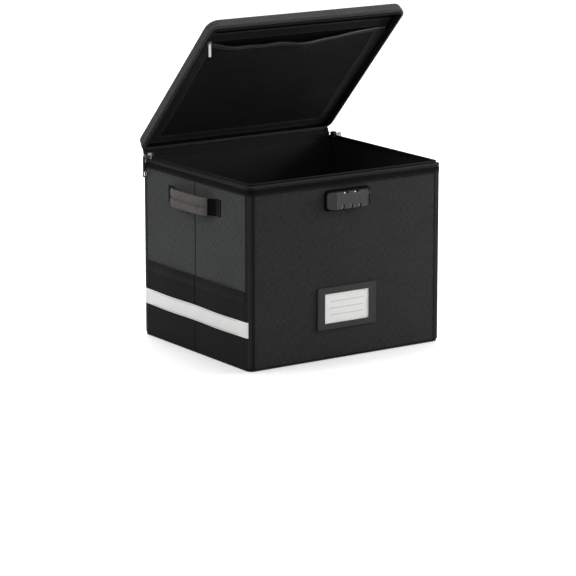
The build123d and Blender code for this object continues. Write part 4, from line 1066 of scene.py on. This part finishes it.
def make_net_pocket():
    """The pocket inside the lid: a cord, a zip that hangs open, a border and a net."""
    cord = tube(xyz(np.linspace(-195.2, 195.2, 80), -139.0, 345.2), 1.3)
    # The cord in the lighter tape: painted highlight along it
    cord.moved(lid_up).make("lid_cord", "ridge_tape_painted_highlight", "lid", "lining", ["lid_piping"])
    for name, material, low_y, high_y, nodes in (
            ("pocket_tape_upper", "pocket_tape", -138.0, -121.2, ["net_zip_tapes"]),
            # The lower tape is painted lighter than the upper one: painted highlight along the lip
            ("pocket_tape_lower", "lip_tape_painted_highlight", -116.8, -110.6, [])):
        pocket_tape(low_y, high_y).moved(lid_up).make(name, material, "lid", "tape", nodes)

    x = np.linspace(-NET_ZIP_X, NET_ZIP_X, 1300)
    for side, points in (("upper", xyz(x, -121.1, NET_Z)), ("lower", limp(xyz(x, -116.9, NET_Z)))):
        coil = tube(points, 1.0, 7, 1.2)
        coil.moved(lid_up).make(f"pocket_coil_{side}", "coil", "lid", "coil", [f"net_coil_{side}"], 60)

    strips = (("left", (-BORDER_X, BORDER_LOW_Y), (-NET_HALF_X, BORDER_HIGH_Y)),
              ("right", (NET_HALF_X, BORDER_LOW_Y), (BORDER_X, BORDER_HIGH_Y)),
              ("rear", (-NET_HALF_X, NET_HIGH_Y), (NET_HALF_X, BORDER_HIGH_Y)),
              ("lip", (-NET_HALF_X, BORDER_LOW_Y), (NET_HALF_X, NET_LOW_Y)))
    for side, low, high in strips:
        strip = binding_strip(low, high).moved(lid_up)
        made = strip.make(f"pocket_border_{side}", "edge_tape", "lid", "binding", ["net_border"])

    sewn = Piece()
    for half_x, low_y, high_y, radius, out in ((NET_HALF_X, NET_LOW_Y, NET_HIGH_Y, 3.0, 2.5),
                                               (BORDER_X, BORDER_LOW_Y, BORDER_HIGH_Y, BORDER_R, -3.0)):
        path = plan(half_x, (high_y - low_y) / 2, radius, (high_y + low_y) / 2)
        stitches(sewn, limp(rail(path, out, 343.55)[0]), [0, 0, -1])
    sewn.moved(lid_up).make("pocket_stitches", body="lid")
    make_net()


def binding_strip(low, high):
    """One straight strip of the pocket's border between two corners, closed all round:
    it sags with the net, and is cut square where the next strip meets it. The side
    strips round off the border's outer corners."""
    counts = [max(int(abs(h - l) / 4.0), 2) for l, h in zip(low, high)]
    x, y = (np.linspace(l, h, n + 1) for l, h, n in zip(low, high, counts))
    inset = np.zeros_like(y)
    if max(-low[0], high[0]) > NET_HALF_X:
        reach = np.maximum(BORDER_R - np.minimum(y - low[1], high[1] - y), 0.0)
        inset = BORDER_R - np.sqrt(np.maximum(BORDER_R ** 2 - reach ** 2, 0.0))
    edge = BORDER_X - inset
    flat = np.stack(np.broadcast_arrays(np.clip(x[:, None], -edge, edge), y), -1)
    faces = [limp(raised(flat, z)) for z in (BORDER_TOP_Z, BORDER_FOOT_Z)]
    strip = Piece().grid(faces[0], flat).grid(faces[1][:, ::-1], flat[:, ::-1])
    for cut in (np.s_[0], np.s_[-1], np.s_[:, 0], np.s_[:, -1]):
        strip.grid(np.stack([faces[0][cut], faces[1][cut]]), np.stack([flat[cut], flat[cut] + 0.8]))
    return strip


def make_net():
    """The net: square holes between flat strands, as one closed lattice."""
    columns, rows, strand, thick = 98, 72, 0.75, 0.22

    def edges(low, high, count):
        middles = np.linspace(low, high, count + 1)
        return np.sort(np.concatenate([middles - strand / 2, middles + strand / 2]))

    xs, ys = edges(-NET_HALF_X, NET_HALF_X, columns), edges(NET_LOW_Y, NET_HIGH_Y, rows)
    x, y = np.meshgrid(xs, ys, indexing="ij")
    count = x.size
    points = np.concatenate([xyz(x, y, z).reshape(-1, 3) for z in (NET_Z + thick, NET_Z - thick)])
    index = np.arange(count).reshape(x.shape)
    a, b = np.meshgrid(np.arange(len(xs) - 1), np.arange(len(ys) - 1), indexing="ij")
    kept = (a % 2 == 0) | (b % 2 == 0)
    quad = np.stack([index[:-1, :-1], index[1:, :-1], index[1:, 1:], index[:-1, 1:]], -1)
    faces = [quad[kept], quad[kept][:, ::-1] + count]
    padded = np.pad(kept, 1)
    for turns, p, q in ((padded[:-1, 1:-1] != padded[1:, 1:-1], index[:, :-1], index[:, 1:]),
                        (padded[1:-1, :-1] != padded[1:-1, 1:], index[:-1, :], index[1:, :])):
        p, q = p[turns], q[turns]
        faces.append(np.stack([p, q, q + count, p + count], -1))
    net = Piece().add(points, np.concatenate(faces), points[:, :2]).moved(limp).moved(lid_up)
    made = net.make("pocket_net", "net_yarn", "lid", "net", ["net_panel"], 30)


# Label, lock and metal

def flat_plate(piece, low, high):
    """A small plate between two opposite corners."""
    (x0, y0, z0), (x1, y1, z1) = low, high
    loop = np.array([(y0, z0), (y1, z0), (y1, z1), (y0, z1), (y0, z0)], float)
    ends = np.array([x0, x1], float)
    return piece.rod(xyz(ends[:, None], loop[:, 0], loop[:, 1]), ends, distance(loop))


def make_label():
    """Ruled lines on the card, and stitches round the frame."""
    rules = Piece()
    face, half, thin = -HALF_Y - 1.1, 36.0, 0.3
    for z in (LABEL_Z + 12.0, LABEL_Z, LABEL_Z - 12.0):
        flat_plate(rules, (-half, face - 0.08, z - thin), (half, face + 0.02, z + thin))
    rules.make("card_rules", "rule_ink", "card", "card")
    sewn = Piece()
    corners = [(x * LABEL_SEAM_X, -HALF_Y - 3.2, LABEL_Z + z * LABEL_SEAM_Z)
               for x, z in ((-1, 1), (1, 1), (1, -1), (-1, -1), (-1, 1))]
    for row in zip(corners, corners[1:]):
        stitches(sewn, row, [0, -1, 0])
    sewn.make("label_stitches")


def make_gasket():
    """Thin black pad under the lock, a little wider than it all round, whose rim is painted shadow round
    the lock, and the two metal catches in the lock's upper slots."""
    x, z = GASKET_SHADOW_X - GASKET_SHADOW_R, GASKET_SHADOW_Z - GASKET_SHADOW_R
    corners = [bend(a * x, b * z, GASKET_SHADOW_R, first, first + 90)
               for a, b, first in ((1, -1, -90), (1, 1, 0), (-1, 1, 90), (-1, -1, 180))]
    path = joined(*corners, line((-x, -GASKET_SHADOW_Z), (x, -GASKET_SHADOW_Z), 4))
    section = [(-4.0, 0.0), (0.0, 0.0), (0.0, 1.2), (-0.8, 2.0), (-6.0, 2.0), (-6.0, 0.0), (-4.0, 0.0)]

    def stood(points):
        """Laid flat, then stood against the front wall."""
        return xyz(points[..., 0], -HALF_Y - points[..., 2], LOCK_Z + points[..., 1])

    # The pad's black rim round the lock is painted shadow
    pad = carry(Piece(), on(path, section), closed=True)
    pad.moved(stood).make("lock_gasket_painted_shadow", "gasket_painted_shadow", "box", "frame")
    catches = Piece()
    front, back, low, high = -HALF_Y - 14.9, -HALF_Y - 13.5, LOCK_Z + 12.7, LOCK_Z + 14.9
    for middle in (-11.0, 11.0):
        flat_plate(catches, (middle - 5.1, front, low), (middle - 1.9, back, high))
    catches.make("lock_catches", "bright_metal", "box", "metal")


def make_figures():
    """Figures 0 to 9 round each dial, one on each flat."""
    flat = DIAL_R * cos(pi / 10)
    dials = (("dial_one", -DIAL_X), ("dial_two", 0.0), ("dial_three", DIAL_X))
    for number, (body, x) in enumerate(dials, 1):
        points, faces, count = [], [], 0
        for digit in range(10):
            text = bpy.data.curves.new("figure", "FONT")
            text.body, text.size, text.extrude = str(digit), FIGURE_SIZE, FIGURE_RELIEF
            text.align_x, text.align_y = "CENTER", "CENTER"
            holder = added("figure", text)
            bpy.context.view_layer.update()
            shaped = holder.evaluated_get(bpy.context.evaluated_depsgraph_get())
            mesh = bpy.data.meshes.new_from_object(shaped)
            co = np.empty(len(mesh.vertices) * 3)
            mesh.vertices.foreach_get("co", co)
            co = co.reshape(-1, 3)
            turn = 2 * pi * (digit + number * 3) / 10 + pi / 10
            away = flat + co[:, 2]
            y = away * cos(turn) - co[:, 1] * sin(turn)
            z = away * sin(turn) + co[:, 1] * cos(turn)
            points.append(xyz(x + co[:, 0], -HALF_Y - DIAL_OUT - y, DIAL_Z + z))
            faces += [[v + count for v in p.vertices] for p in mesh.polygons]
            count += len(co)
            bpy.data.objects.remove(holder)
            bpy.data.meshes.remove(mesh)
        mesh = bpy.data.meshes.new(f"dial_{number}_figures")
        mesh.from_pydata((np.concatenate(points) * MM).tolist(), [], faces)
        weld(mesh, 1e-6, 1e-5)
        mesh.materials.append(MATERIAL["ink"])
        made = added(mesh.name, mesh)
        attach(made, body)


def dress_nodes():
    """Gives each solid that stays in sight its finish."""
    finish = {
        "greyboard": ["board_front", "board_rear", "board_base", "board_left_front", "board_left_rear",
                      "board_right_front", "board_right_rear", "lid_board"],
        "bright_metal": ["net_slider", "net_pull", "body_zip_stops"],
        "dark_metal": ["zip_slider_left", "zip_slider_right", "zip_pull_left", "zip_pull_right"],
        "steel": ["lock_back_plate", "lock_screws", "dial_axle"],
        "lock_moulding": ["lock_housing", "release_button"],
        "dial_moulding": ["dial_1", "dial_2", "dial_3"],
        "frame_sheet": ["label_frame"],
        "film": ["label_film"],
        "card": ["label_card"],
    }
    for material, names in finish.items():
        for name in names:
            slots = NODES[name].data.materials
            if not len(slots):
                slots.append(MATERIAL[material])
            for i in range(len(slots)):
                slots[i] = MATERIAL[material]


bpy.context.scene.view_settings.view_transform = "Standard"
set_camera()
set_world()
for lamp in LAMPS:
    set_lamp(*lamp)
set_floor()
make_walls()
make_fold_seams()
make_base()
make_rim()
make_corners()
make_zip()
make_pockets()
make_handles()
make_lid()
make_hinge()
make_net_pocket()
make_label()
make_gasket()
make_figures()
dress_nodes()
